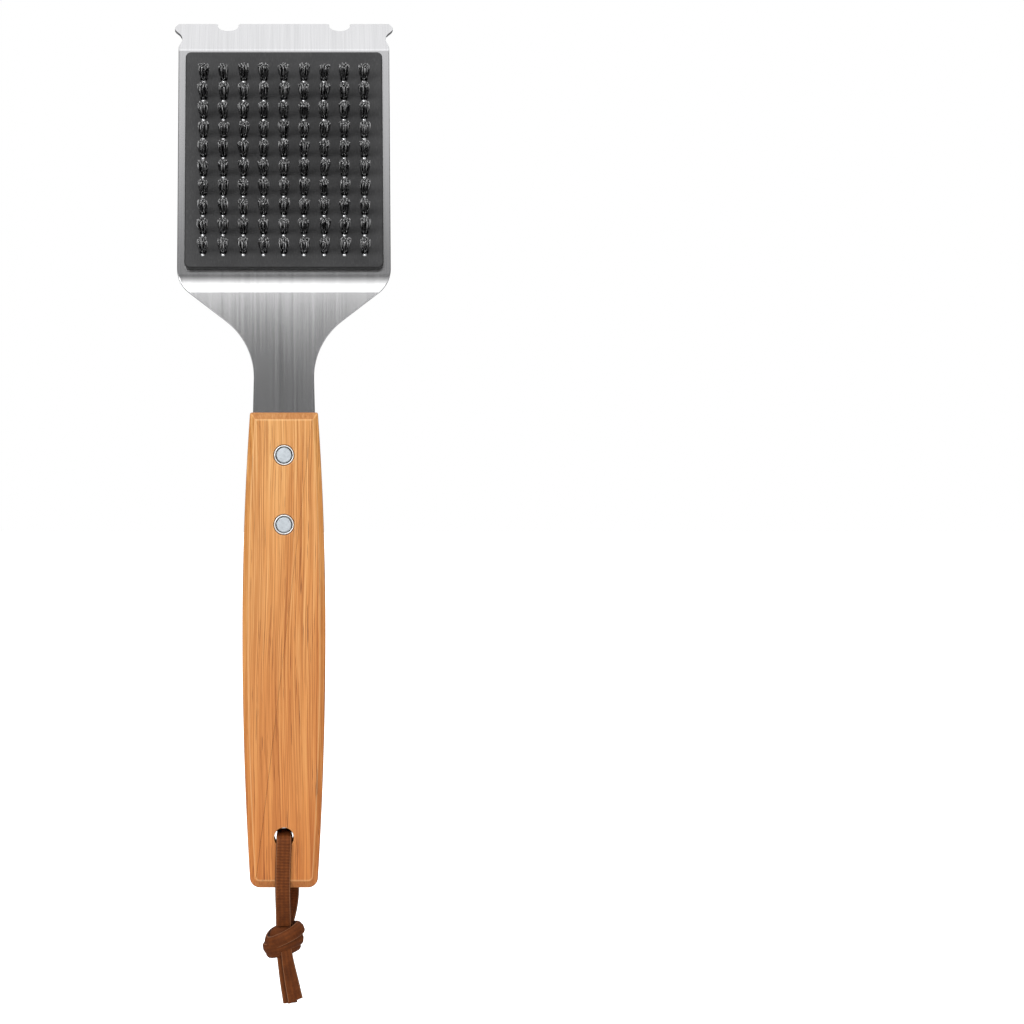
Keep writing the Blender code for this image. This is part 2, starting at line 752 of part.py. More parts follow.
def build():
    clear_scene()
    brushed_steel = material("brushed_steel", (0.62, 0.62, 0.63), 0.32, 1.0)
    rivet_steel = material("rivet_steel", (0.70, 0.71, 0.72), 0.28, 1.0)
    block_plastic = material("block_plastic", (0.06, 0.06, 0.06), 0.55)
    black_nylon = material("black_nylon", (0.012, 0.012, 0.012), 0.25)
    honey_wood = material("honey_wood", (0.72, 0.38, 0.14), 0.5)
    brown_leather = material("brown_leather", (0.16, 0.05, 0.02), 0.6)

    head = bpy.data.objects.new("head_frame", None)
    bpy.context.scene.collection.objects.link(head)
    head.location = (0, 0, NECK_BEND_Z + NECK_BEND_RADIUS * math.tan(HEAD_TIP_BACK / 2))
    head.rotation_euler = (math.pi / 2 - HEAD_TIP_BACK, 0, 0)

    make_blade(brushed_steel, head)
    make_block(block_plastic, head)
    make_bristle_rows(black_nylon, head)
    make_block_rivets(rivet_steel, head)
    make_handle(honey_wood)
    make_handle_rivets(rivet_steel)
    make_lanyard(brown_leather)
    bpy.context.view_layer.update()


build()
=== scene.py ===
"""Grill cleaning brush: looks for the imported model, piece by piece in the order it is made."""

import math
import random

import bmesh
import bpy
from mathutils import Matrix, Vector


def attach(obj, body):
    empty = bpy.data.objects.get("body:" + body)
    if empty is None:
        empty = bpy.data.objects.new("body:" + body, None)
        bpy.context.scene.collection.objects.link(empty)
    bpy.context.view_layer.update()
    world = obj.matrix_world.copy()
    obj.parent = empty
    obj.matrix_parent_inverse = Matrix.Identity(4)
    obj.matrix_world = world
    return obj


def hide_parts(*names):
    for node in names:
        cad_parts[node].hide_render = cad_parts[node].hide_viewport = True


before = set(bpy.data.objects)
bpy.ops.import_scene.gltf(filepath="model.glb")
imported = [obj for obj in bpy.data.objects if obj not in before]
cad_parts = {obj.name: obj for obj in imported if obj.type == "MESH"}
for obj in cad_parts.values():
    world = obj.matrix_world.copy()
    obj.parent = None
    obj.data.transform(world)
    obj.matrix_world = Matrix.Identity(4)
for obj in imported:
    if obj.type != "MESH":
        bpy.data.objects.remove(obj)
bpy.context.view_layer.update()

MM = 0.001


# ---- Studio ------------------------------------------------------------------------------
# A pale floor and a white surround, a wide soft box in front that fades out at its top, a
# small key box to the left and a weak fill from behind. The camera looks level at the
# tool from its bristle side.

FLOOR_Z = -0.30
FLOOR_SIZE = 120.0
CAMERA_PLACE = (0.0, -1.6, 0.0646)
CAMERA_LENS = 119.7
CAMERA_SHIFT = 0.2227
SURROUND_SEEN = (1.0, 1.0, 1.0, 1.0)

camera_data = bpy.data.cameras.new("camera")
camera_data.sensor_width = 36.0
camera_data.lens = CAMERA_LENS
camera_data.shift_x = CAMERA_SHIFT
camera_data.clip_start = 0.01
camera = bpy.data.objects.new("camera", camera_data)
camera.location = CAMERA_PLACE
camera.rotation_euler = (math.pi / 2, 0.0, 0.0)
bpy.context.scene.collection.objects.link(camera)
bpy.context.scene.camera = camera
bpy.context.scene.view_settings.view_transform = "Standard"

floor_bm = bmesh.new()
bmesh.ops.create_grid(floor_bm, x_segments=1, y_segments=1, size=FLOOR_SIZE / 2)
bmesh.ops.translate(floor_bm, verts=floor_bm.verts[:], vec=(0.0, 0.0, FLOOR_Z))
floor_mesh = bpy.data.meshes.new("floor")
floor_bm.to_mesh(floor_mesh)
floor_bm.free()
floor = bpy.data.objects.new("floor", floor_mesh)
bpy.context.scene.collection.objects.link(floor)
floor_finish = bpy.data.materials.new("pale_floor")
floor_finish.use_nodes = True
floor_tree = floor_finish.node_tree
floor_shader = floor_tree.nodes["Principled BSDF"]
floor_shader.inputs["Base Color"].default_value = (0.65, 0.65, 0.65, 1.0)
floor_shader.inputs["Roughness"].default_value = 0.9
floor_shader.inputs["Emission Color"].default_value = (1.0, 1.0, 1.0, 1.0)
floor_seen = floor_tree.nodes.new("ShaderNodeLightPath")
floor_tree.links.new(floor_seen.outputs["Is Camera Ray"], floor_shader.inputs["Emission Strength"])
floor_mesh.materials.append(floor_finish)

# The surround's light grows from the horizon to overhead: (height of the way, brightness).
SURROUND_HEIGHTS = [
    (0.0, 0.09), (0.40, 0.12), (0.485, 0.10), (0.51, 0.80), (0.56, 1.05), (0.65, 1.40), (0.91, 1.45),
    (0.945, 1.2), (1.0, 1.25),
]
surround = bpy.data.worlds.new("surround")
surround.use_nodes = True
bpy.context.scene.world = surround
tree = surround.node_tree
tree.nodes.clear()
seen = tree.nodes.new("ShaderNodeBackground")
seen.inputs["Color"].default_value = SURROUND_SEEN
lit = tree.nodes.new("ShaderNodeBackground")
direction = tree.nodes.new("ShaderNodeTexCoord")
split = tree.nodes.new("ShaderNodeSeparateXYZ")
grades = tree.nodes.new("ShaderNodeValToRGB")
while len(grades.color_ramp.elements) < len(SURROUND_HEIGHTS):
    grades.color_ramp.elements.new(0.5)
for stop, (height, level) in zip(grades.color_ramp.elements, SURROUND_HEIGHTS):
    stop.position = height
    stop.color = (level, level, level * 1.01, 1.0)
path = tree.nodes.new("ShaderNodeLightPath")
pick = tree.nodes.new("ShaderNodeMixShader")
out = tree.nodes.new("ShaderNodeOutputWorld")
tree.links.new(direction.outputs["Generated"], split.inputs["Vector"])
tree.links.new(split.outputs["Z"], grades.inputs["Fac"])
tree.links.new(grades.outputs["Color"], lit.inputs["Color"])
tree.links.new(path.outputs["Is Camera Ray"], pick.inputs["Fac"])
tree.links.new(lit.outputs["Background"], pick.inputs[1])
tree.links.new(seen.outputs["Background"], pick.inputs[2])
tree.links.new(pick.outputs["Shader"], out.inputs["Surface"])


def soft_box(name, place, aim, width, height, power):
    """A rectangular area light at one place that faces another."""
    data = bpy.data.lights.new(name, "AREA")
    data.shape = "RECTANGLE"
    data.size = width
    data.size_y = height
    data.energy = power
    light = bpy.data.objects.new(name, data)
    light.location = place
    toward = Vector(aim) - Vector(place)
    light.rotation_mode = "QUATERNION"
    light.rotation_quaternion = toward.to_track_quat("-Z", "Y")
    bpy.context.scene.collection.objects.link(light)


# The front box fades out at its top: (lower edge, upper edge, brightness).
FRONT_BOX_Y, FRONT_BOX_WIDTH = -1.75, 1.9
FRONT_BOX_STEPS = [(0.295, 0.842, 1.9), (0.842, 0.931, 1.1), (0.931, 1.024, 0.5)]
for number, (low, high, level) in enumerate(FRONT_BOX_STEPS):
    middle = (low + high) / 2
    soft_box(f"front_box_{number}", (0.0, FRONT_BOX_Y, middle), (0.0, 0.0, middle), FRONT_BOX_WIDTH,
             high - low, level * math.pi * FRONT_BOX_WIDTH * (high - low))
soft_box("key_box", (-0.64, -1.41, 0.53), (0.0, 0.0, 0.1), 0.42, 0.42, 7.5)
soft_box("back_box", (0.3, 1.75, 0.60), (0.0, 0.0, 0.2), 1.6, 0.6, 6.0)


# ---- Hanging lace ------------------------------------------------------------------------
# One flat brown leather lace with a fine crosswise rib. It runs through the hanging hole, and
# both ends are tied together in an overhand knot under the handle and cut off below it.

LACE_WIDTH = 7.2 * MM
LACE_THICKNESS = 1.9 * MM
LACE_STEP = 0.8 * MM
LACE_SECTION_SIDES = 20
LOOP_ROUTE = [
    (-0.2, -3.2, -129.1),
    (-0.3, -6.6, -122.6),
    (-0.5, -9.7, -116.4),
    (-0.6, -10.3, -109.0),
    (-0.4, -10.3, -100.0),
    (-0.1, -10.3, -92.0),
    (0.0, -9.3, -88.4),
    (0.0, -6.0, -87.1),
    (0.1, 2.3, -85.1),
    (0.2, 7.0, -86.8),
    (0.4, 9.3, -88.4),
    (0.9, 10.3, -92.0),
    (2.2, 10.3, -100.0),
    (3.4, 10.3, -109.0),
    (3.5, 9.7, -116.4),
    (2.6, 6.6, -122.6),
    (0.9, 3.2, -129.1),
]
TAILS = {
    "front": {
        "route": [(1.0, -4.6, -140.0), (1.9, -4.9, -146.4), (3.5, -3.8, -155.0), (5.4, -2.8, -164.6)],
        "widths": (0.72, 0.98),
        "end_slant": 0.5,
    },
    "rear": {
        "route": [(-0.4, -3.0, -140.0), (0.4, -2.9, -146.4), (1.4, -1.6, -155.0), (3.0, -0.4, -165.9)],
        "widths": (0.95, 0.95),
        "end_slant": -0.1,
    },
}


def smooth_route(route, step, closed=False):
    """Evenly spaced points, in metres, on the smooth curve through a route in millimetres."""
    knots = [Vector(point) * MM for point in route]
    if closed:
        ends = [knots[-1], *knots, knots[0], knots[1]]
    else:
        ends = [2 * knots[0] - knots[1], *knots, 2 * knots[-1] - knots[-2]]
    dense = []
    for a, b, c, d in zip(ends, ends[1:], ends[2:], ends[3:]):
        for part in range(12):
            t = part / 12
            bend = 2 * a - 5 * b + 4 * c - d
            twist = 3 * b - a - 3 * c + d
            dense.append(0.5 * (2 * b + (c - a) * t + bend * t * t + twist * t ** 3))
    dense.append(ends[-2].copy())
    lengths = [0.0]
    for a, b in zip(dense, dense[1:]):
        lengths.append(lengths[-1] + (b - a).length)
    count = max(4, round(lengths[-1] / step))
    points, index = [], 0
    for number in range(count + 1):
        target = lengths[-1] * number / count
        while index < len(lengths) - 2 and lengths[index + 1] < target:
            index += 1
        share = (target - lengths[index]) / (lengths[index + 1] - lengths[index])
        points.append(dense[index].lerp(dense[index + 1], share))
    return points


def lace_strip(bm, points, across_of, width_of, flat=LACE_THICKNESS, closed=False, cup=(0.0, None)):
    """Draws the lace's round-edged section along the points. across_of gives its flat way.

    Its edges are drawn by the cup's depth towards the cup's middle. Each vertex keeps the length
    along the lace and the place across it for the rib pattern.
    """
    along_lace = bm.verts.layers.float_vector.get("lace") or bm.verts.layers.float_vector.new("lace")
    count = len(points)
    section = []
    for side in range(LACE_SECTION_SIDES):
        angle = math.tau * side / LACE_SECTION_SIDES
        x = math.copysign(abs(math.cos(angle)) ** 0.42, math.cos(angle))
        y = math.copysign(abs(math.sin(angle)) ** 0.62, math.sin(angle))
        section.append((x, y))
    start = bmesh.ops.create_circle(bm, cap_ends=False, segments=LACE_SECTION_SIDES, radius=1.0)
    ring = start["verts"]
    first = ring
    length = 0.0
    for index, point in enumerate(points):
        if closed:
            before, after = points[index - 1], points[(index + 1) % count]
        else:
            before, after = points[max(index - 1, 0)], points[min(index + 1, count - 1)]
        along = (after - before).normalized()
        across = across_of(index / (count - 1), point)
        across = (across - along * across.dot(along)).normalized()
        through = along.cross(across)
        if index:
            length += (point - points[index - 1]).length
            edges = [edge for edge in set(e for v in ring for e in v.link_edges)
                     if all(v in ring for v in edge.verts)]
            grown = bmesh.ops.extrude_edge_only(bm, edges=edges)
            fresh = [g for g in grown["geom"] if isinstance(g, bmesh.types.BMVert)]
            below = {}
            for vert in fresh:
                for edge in vert.link_edges:
                    other = edge.other_vert(vert)
                    if other in ring:
                        below[other] = vert
            ring = [below[vert] for vert in ring]
        half = width_of(index / (count - 1)) * LACE_WIDTH / 2
        for vert, (x, y) in zip(ring, section):
            vert.co = point + across * (x * half) + through * (y * flat / 2)
            if cup[1]:
                vert.co += (cup[1] - vert.co).normalized() * cup[0] * x * x
            vert[along_lace] = (length, x, y)
    if closed:
        loops = [edge for edge in bm.edges if edge.is_boundary]
        bmesh.ops.bridge_loops(bm, edges=loops)
    else:
        bmesh.ops.contextual_create(bm, geom=first)
        bmesh.ops.contextual_create(bm, geom=ring)


def finished_piece(name, bm, finish, smooth_angle=40.0):
    """Turns a bmesh into a linked object with one material, shaded smooth to an angle."""
    bmesh.ops.recalc_face_normals(bm, faces=bm.faces[:])
    mesh = bpy.data.meshes.new(name)
    bm.to_mesh(mesh)
    bm.free()
    mesh.shade_smooth()
    mesh.set_sharp_from_angle(angle=math.radians(smooth_angle))
    mesh.materials.append(finish)
    piece = bpy.data.objects.new(name, mesh)
    bpy.context.scene.collection.objects.link(piece)
    return piece


class Wiring:
    """A material's or a group's node tree, with short ways to add and join its nodes."""

    def __init__(self, tree):
        self.tree = tree

    def node(self, kind, settings=None, **inputs):
        made = self.tree.nodes.new(kind)
        for name, value in (settings or {}).items():
            setattr(made, name, value)
        for name, value in inputs.items():
            self.feed(made, name.replace("_", " "), value)
        return made

    def feed(self, node, socket, value):
        target = node.inputs[int(socket)] if socket.isdigit() else node.inputs[socket]
        if isinstance(value, bpy.types.NodeSocket):
            self.tree.links.new(value, target)
        else:
            target.default_value = value

    def math(self, operation, *values, clamp=False):
        made = self.tree.nodes.new("ShaderNodeMath")
        made.operation = operation
        made.use_clamp = clamp
        for number, value in enumerate(values):
            self.feed(made, str(number), value)
        return made.outputs["Value"]

    def ramp(self, value, low, high, to_low=0.0, to_high=1.0):
        made = self.tree.nodes.new("ShaderNodeMapRange")
        for socket, content in zip(("0", "1", "2", "3", "4"), (value, low, high, to_low, to_high)):
            self.feed(made, socket, content)
        return made.outputs["Result"]

    def mix(self, share, first, second, blend="MIX"):
        made = self.tree.nodes.new("ShaderNodeMix")
        made.data_type = "RGBA"
        made.blend_type = blend
        self.feed(made, "0", share)
        self.feed(made, "6", first)
        self.feed(made, "7", second)
        return made.outputs[2]

    def noise(self, vector, scale, detail=3.0, rough=0.5, distort=0.0):
        made = self.tree.nodes.new("ShaderNodeTexNoise")
        self.feed(made, "Vector", vector)
        made.inputs["Scale"].default_value = scale
        made.inputs["Detail"].default_value = detail
        made.inputs["Roughness"].default_value = rough
        made.inputs["Distortion"].default_value = distort
        return made.outputs["Fac"]

    def stretched(self, vector, scale):
        made = self.tree.nodes.new("ShaderNodeMapping")
        self.feed(made, "Vector", vector)
        made.inputs["Scale"].default_value = scale
        return made.outputs["Vector"]

    def bump(self, height, distance, strength=1.0, under=None):
        made = self.tree.nodes.new("ShaderNodeBump")
        self.feed(made, "Height", height)
        made.inputs["Distance"].default_value = distance
        made.inputs["Strength"].default_value = strength
        if under:
            self.feed(made, "Normal", under)
        return made.outputs["Normal"]


def new_finish(name, **plain):
    """A material with its Principled shader, whose plain sockets are set at once."""
    finish = bpy.data.materials.new(name)
    finish.use_nodes = True
    shader = finish.node_tree.nodes["Principled BSDF"]
    for socket, value in plain.items():
        shader.inputs[socket.replace("_", " ")].default_value = value
    return finish, Wiring(finish.node_tree), shader


def new_group(name, inputs, outputs):
    """An empty shader node group: its tree, its wiring, its input sockets and its output node."""
    group = bpy.data.node_groups.new(name, "ShaderNodeTree")
    for socket, kind in inputs.items():
        group.interface.new_socket(socket, in_out="INPUT", socket_type=f"NodeSocket{kind}")
    for socket, kind in outputs.items():
        group.interface.new_socket(socket, in_out="OUTPUT", socket_type=f"NodeSocket{kind}")
    wires = Wiring(group)
    return group, wires, wires.node("NodeGroupInput").outputs, wires.node("NodeGroupOutput")


def make_fine_grain_group():
    """Fine even grain of leather, moulded plastic or nylon, and the height it stands."""
    group, wires, given, out = new_group(
        "fine_grain", {"Place": "Vector", "Scale": "Float"}, {"Grain": "Float", "Height": "Float"})
    fine = wires.node("ShaderNodeTexNoise", Vector=given["Place"], Scale=given["Scale"], Detail=2.0,
                      Roughness=0.6).outputs["Fac"]
    coarse_scale = wires.math("MULTIPLY", given["Scale"], 0.43)
    coarse = wires.node("ShaderNodeTexNoise", Vector=given["Place"], Scale=coarse_scale,
                        Detail=2.0).outputs["Fac"]
    wires.feed(out, "Grain", wires.ramp(fine, 0.3, 0.7))
    wires.feed(out, "Height", wires.math("MULTIPLY_ADD", coarse, 0.8, fine))
    return group


def make_colour_drift_group():
    """Slow drift between two tones, from handling and from the raw material itself."""
    group, wires, given, out = new_group(
        "colour_drift", {"Place": "Vector", "Scale": "Float", "First": "Color", "Second": "Color"},
        {"Tone": "Color", "Mask": "Float"})
    cloud = wires.node("ShaderNodeTexNoise", Vector=given["Place"], Scale=given["Scale"], Detail=3.0,
                       Roughness=0.55).outputs["Fac"]
    mask = wires.ramp(cloud, 0.34, 0.66)
    wires.feed(out, "Mask", mask)
    wires.feed(out, "Tone", wires.mix(mask, given["First"], given["Second"]))
    return group


fine_grain = make_fine_grain_group()
colour_drift = make_colour_drift_group()


def make_lace_leather():
    """Brown leather: crosswise ribs in places, long creases darkened by painted shade, a pale cut line,
    and painted shade darkening its rounded edges.
    """
    finish, wires, shader = new_finish("lace_leather", Specular_IOR_Level=0.12)
    lace = wires.node("ShaderNodeAttribute", {"attribute_name": "lace"})
    split = wires.node("ShaderNodeSeparateXYZ", Vector=lace.outputs["Vector"])
    along, across = split.outputs["X"], split.outputs["Y"]
    place = wires.node("ShaderNodeTexCoord").outputs["Object"]
    sway = wires.noise(place, 700.0, 2.0)
    rib_phase = wires.math("MULTIPLY_ADD", along, math.tau / (1.4 * MM), wires.math("MULTIPLY", sway, 2.5))
    rib = wires.ramp(wires.math("SINE", rib_phase), -1.0, 1.0)
    shaded_crease = wires.ramp(wires.math("SINE", wires.math("MULTIPLY", across, 10.5)), -1.0, 1.0)
    height_up = wires.node("ShaderNodeSeparateXYZ", Vector=place).outputs["Z"]
    ribbed = wires.ramp(height_up, -128.0 * MM, -108.0 * MM, 0.12, 0.9)
    drift = wires.node("ShaderNodeGroup", {"node_tree": colour_drift}, Place=place, Scale=260.0,
                       First=(0.088, 0.020, 0.0035, 1.0), Second=(0.150, 0.038, 0.007, 1.0))
    grain = wires.node("ShaderNodeGroup", {"node_tree": fine_grain}, Place=place, Scale=2600.0)
    rib_part = wires.math("MULTIPLY", rib, ribbed)
    tone = wires.mix(wires.math("MULTIPLY", rib_part, 0.55), drift.outputs["Tone"],
                     (0.25, 0.070, 0.016, 1.0))
    # Painted shade: the creases are darkened in colour as well as bumped.
    tone = wires.mix(wires.math("MULTIPLY", shaded_crease, 0.4), tone, (0.05, 0.012, 0.003, 1.0))
    tone = wires.mix(wires.math("MULTIPLY", grain.outputs["Grain"], 0.14), tone,
                     (0.34, 0.12, 0.04, 1.0))
    reach = wires.math("ABSOLUTE", across)
    cut_line = wires.math("SUBTRACT", wires.ramp(reach, 0.82, 0.87), wires.ramp(reach, 0.91, 0.94))
    tone = wires.mix(wires.math("MULTIPLY", cut_line, 0.5), tone, (0.42, 0.20, 0.10, 1.0))
    # Painted shade: the outermost rims of the section are darkened nearly to black.
    tone = wires.mix(wires.ramp(reach, 0.93, 0.97, 0.0, 0.9), tone, (0.022, 0.006, 0.002, 1.0))
    wires.feed(shader, "Base Color", tone)
    wires.feed(shader, "Roughness", wires.ramp(grain.outputs["Grain"], 0.0, 1.0, 0.55, 0.78))
    height = wires.math("MULTIPLY_ADD", grain.outputs["Height"], 0.25, rib_part)
    height = wires.math("MULTIPLY_ADD", shaded_crease, 0.4, height)
    wires.feed(shader, "Normal", wires.bump(height, 0.16 * MM, 0.7))
    return finish


lace_leather = make_lace_leather()

# The loop: its flat side lies on the handle's faces. It is squeezed narrower and arches up
# inside the hole.
loop_points = smooth_route(LOOP_ROUTE, LACE_STEP)
loop_bm = bmesh.new()
lace_strip(loop_bm, loop_points, lambda share, point: Vector((1, 0, 0)),
           lambda share: 1.0 - 0.10 * max(0.0, 1.0 - abs(share - 0.5) / 0.09))
lace_loop = finished_piece("lace_loop", loop_bm, lace_leather)

# The knot: turns of lace over one another, high on the right in front and low on the left, as
# an overhand knot in a doubled lace lies. Each turn is a closed route with its own width.
KNOT_TURNS = [
    {"route": [(7.6, -1.8, -130.4), (4.2, -6.0, -132.6), (-1.5, -7.2, -135.4), (-6.2, -5.0, -137.4),
               (-8.1, -0.6, -137.2), (-6.2, 4.0, -134.2), (-0.8, 6.4, -131.6), (4.8, 5.0, -130.4),
               (7.9, 1.6, -129.8)],
     "width": 1.0, "flat": 2.2 * MM},
    {"route": [(7.6, -1.4, -135.8), (3.6, -5.2, -137.2), (-2.2, -5.9, -139.2), (-7.0, -3.8, -140.8),
               (-8.7, 0.2, -140.6), (-6.0, 4.2, -138.8), (-0.2, 5.8, -136.8), (5.2, 4.4, -135.4),
               (8.1, 1.4, -135.2)],
     "width": 0.98, "flat": 2.2 * MM},
    {"route": [(6.4, -1.2, -139.8), (3.4, -3.7, -141.0), (-2.0, -4.3, -142.4), (-6.0, -2.8, -143.2),
               (-7.4, 0.2, -143.2), (-4.6, 3.2, -142.6), (0.8, 4.2, -141.4), (4.8, 3.2, -140.2),
               (7.0, 0.9, -139.6)],
     "width": 0.72, "flat": 2.0 * MM},
]
KNOT_MIDDLE = Vector((-0.3, 0.0, -136.6)) * MM
knot_bm = bmesh.new()


def knot_across(share, point):
    """The band lies flat on the knot: its width runs up and down and leans with the knot's side."""
    away = (point - KNOT_MIDDLE) / MM
    lean = -0.012 * away.z
    return Vector((lean * away.x, lean * away.y, 1.0))


for turn in KNOT_TURNS:
    lace_strip(
        knot_bm,
        smooth_route(turn["route"], LACE_STEP, closed=True)[:-1],
        knot_across,
        lambda share, width=turn["width"]: width,
        flat=turn["flat"],
        closed=True,
        cup=(1.3 * MM, KNOT_MIDDLE),
    )
core = bmesh.ops.create_uvsphere(knot_bm, u_segments=24, v_segments=16, radius=0.5)
bmesh.ops.scale(knot_bm, verts=core["verts"], vec=(14.0 * MM, 10.0 * MM, 16.0 * MM))
bmesh.ops.translate(knot_bm, verts=core["verts"], vec=KNOT_MIDDLE)
lace_knot = finished_piece("lace_knot", knot_bm, lace_leather)

lace_pieces = [lace_knot]
for name, tail in TAILS.items():
    tail_bm = bmesh.new()
    points = smooth_route(tail["route"], LACE_STEP)
    top, end = tail["widths"]
    lace_strip(
        tail_bm,
        points,
        lambda share, point: Vector((1, 0, 0)),
        lambda share, top=top, end=end: top + (end - top) * min(1.0, share * 1.4),
    )
    lowest = points[-1]
    for vert in tail_bm.verts:
        near_end = max(0.0, 1.0 - (vert.co - lowest).length / (6.0 * MM))
        vert.co.z += near_end * tail["end_slant"] * (vert.co.x - lowest.x)
    piece = finished_piece(f"lace_tail_{name}", tail_bm, lace_leather)
    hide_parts(f"lanyard_tail_{name}")
    lace_pieces.append(piece)

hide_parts("lanyard_loop")
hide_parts("lanyard_knot")
for piece in [lace_loop, *lace_pieces]:
    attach(piece, "lanyard")


# ---- Blade -------------------------------------------------------------------------------
# Tang, neck, head and scraper lip are one blank of stainless sheet, brushed lengthwise. It is
# bent softly at the neck and sharply at the lip, whose end is ground thin on its front.

SHEET = 1.5 * MM
NECK_BEND_Z = 167.6 * MM
NECK_BEND_RADIUS = 24.0 * MM
HEAD_TIP_BACK = math.radians(12.5)
HEAD_LENGTH = 117.9 * MM
HEAD_WIDTH = 100.5 * MM
LIP_BEND_RADIUS = 3.0 * MM
LIP_BEND = math.radians(37.5)
LIP_LENGTH = 22.8 * MM
NECK_SETBACK = NECK_BEND_RADIUS * math.tan(HEAD_TIP_BACK / 2)
LIP_SETBACK = LIP_BEND_RADIUS * math.tan(LIP_BEND / 2)
# The neck's bend is tight at first and then eases into the flat head.
TIGHT_BEND = math.radians(8.0)
EASED_BEND = HEAD_TIP_BACK - TIGHT_BEND
EASED_BEND_RADIUS = 70.0 * MM
# The sheet from its neck bend upwards: (length, turn) of each stretch.
EASING = (EASED_BEND_RADIUS - NECK_BEND_RADIUS) * EASED_BEND
STRETCHES = [
    (NECK_BEND_RADIUS * TIGHT_BEND, TIGHT_BEND),
    (EASED_BEND_RADIUS * EASED_BEND, EASED_BEND),
    (HEAD_LENGTH - NECK_SETBACK - LIP_SETBACK - EASING, 0.0),
    (LIP_BEND_RADIUS * LIP_BEND, LIP_BEND),
    (LIP_LENGTH - LIP_SETBACK, 0.0),
]
LIP_END = sum(length for length, turn in STRETCHES)
SHEET_EDGE = 0.38 * MM
GROOVE_X, GROOVE_RADIUS, GROOVE_DEPTH = 26.8 * MM, 5.0 * MM, 7.2 * MM


def on_sheet(s):
    """The sheet s along from its neck bend: its right, its length and its front as x, y and z."""
    y, z, heading = 0.0, NECK_BEND_Z + min(s, 0.0), 0.0
    start = 0.0
    for length, turn in STRETCHES:
        run = min(max(s - start, 0.0), length)
        if turn:
            radius = length / turn
            swept = run / radius
            y += radius * (math.cos(heading) - math.cos(heading + swept))
            z += radius * (math.sin(heading + swept) - math.sin(heading))
            heading += swept
        else:
            y += run * math.sin(heading)
            z += run * math.cos(heading)
        start += length
    return Matrix((
        (1.0, 0.0, 0.0, 0.0),
        (0.0, math.sin(heading), -math.cos(heading), y),
        (0.0, math.cos(heading), math.sin(heading), z),
        (0.0, 0.0, 0.0, 1.0),
    ))


def arc(centre, radius, start, end, step=4.0):
    """Points on an arc between two angles in degrees, both ends included."""
    count = max(2, math.ceil(abs(end - start) / step))
    angles = [math.radians(start + (end - start) * i / count) for i in range(count + 1)]
    return [(centre[0] + radius * math.cos(a), centre[1] + radius * math.sin(a)) for a in angles]


def filled_outline(bm, right_half):
    """A face in the x-y plane from its right half, which runs from the bottom to the top."""
    kept = []
    for point in right_half:
        if not kept or math.dist(point, kept[-1]) > 0.02 * MM:
            kept.append(point)
    whole = kept + [(-x, y) for x, y in reversed(kept) if x > 0.02 * MM]
    verts = [bmesh.ops.create_vert(bm, co=(x, y, 0.0))["vert"][0] for x, y in whole]
    edges = [bm.edges.new(pair) for pair in zip(verts, verts[1:] + verts[:1])]
    return bmesh.ops.contextual_create(bm, geom=edges)["faces"][0]


def blade_half():
    """The right half of the flat blank, from the tang's end round to the lip's end."""
    tang_end, waist = 45.0 * MM - NECK_BEND_Z, 127.6 * MM - NECK_BEND_Z
    slope, fillet, corner = 37.5, 33.4 * MM, 15.0 * MM
    turn = 90.0 - slope
    neck = arc((14.15 * MM + fillet, waist), fillet, 180.0, 180.0 - turn)
    corner_x = HEAD_WIDTH / 2 - corner
    run = corner_x + corner * math.cos(math.radians(turn)) - neck[-1][0]
    corner_s = (neck[-1][1] + run * math.tan(math.radians(slope))
                + corner * math.sin(math.radians(turn)))
    bend = LIP_END - LIP_LENGTH
    groove_s = LIP_END - GROOVE_DEPTH + GROOVE_RADIUS
    near, far = GROOVE_X - GROOVE_RADIUS, GROOVE_X + GROOVE_RADIUS
    ear = [(49.75, 3.6), (49.15, 5.6), (48.75, 7.6), (48.9, 9.6), (49.3, 11.2), (49.9, 12.6),
           (50.9, 14.0), (51.8, 15.3), (52.35, 16.6), (52.45, 17.9), (52.2, 19.3), (51.6, 21.0),
           (51.1, 22.1)]
    return [
        (0.0, tang_end),
        *arc((7.0 * MM, tang_end + 4.0 * MM), 4.0 * MM, -90.0, 0.0, 10.0),
        (14.55 * MM, 111.2 * MM - NECK_BEND_Z),
        *neck,
        *arc((corner_x, corner_s), corner, -turn, 0.0),
        (HEAD_WIDTH / 2, bend + 1.6 * MM),
        *[(x * MM, bend + t * MM) for x, t in ear],
        (50.7 * MM, LIP_END - 0.15 * MM),
        (50.4 * MM, LIP_END),
        *arc((far + 0.9 * MM, LIP_END - 0.9 * MM), 0.9 * MM, 90.0, 180.0, 22.5),
        *arc((GROOVE_X, groove_s), GROOVE_RADIUS, 0.0, -180.0, 9.0),
        *arc((near - 0.9 * MM, LIP_END - 0.9 * MM), 0.9 * MM, 0.0, 90.0, 22.5),
        (0.0, LIP_END),
    ]


def carve(piece, tools):
    """Cuts each tool out of the piece for good and removes the tool."""
    for tool in tools:
        cutting = piece.modifiers.new("cut", "BOOLEAN")
        cutting.operation = "DIFFERENCE"
        cutting.solver = "EXACT"
        cutting.object = tool
    bpy.context.view_layer.update()
    evaluated = piece.evaluated_get(bpy.context.evaluated_depsgraph_get())
    carved = bpy.data.meshes.new_from_object(evaluated)
    piece.modifiers.clear()
    piece.data = carved
    for tool in tools:
        bpy.data.objects.remove(tool)


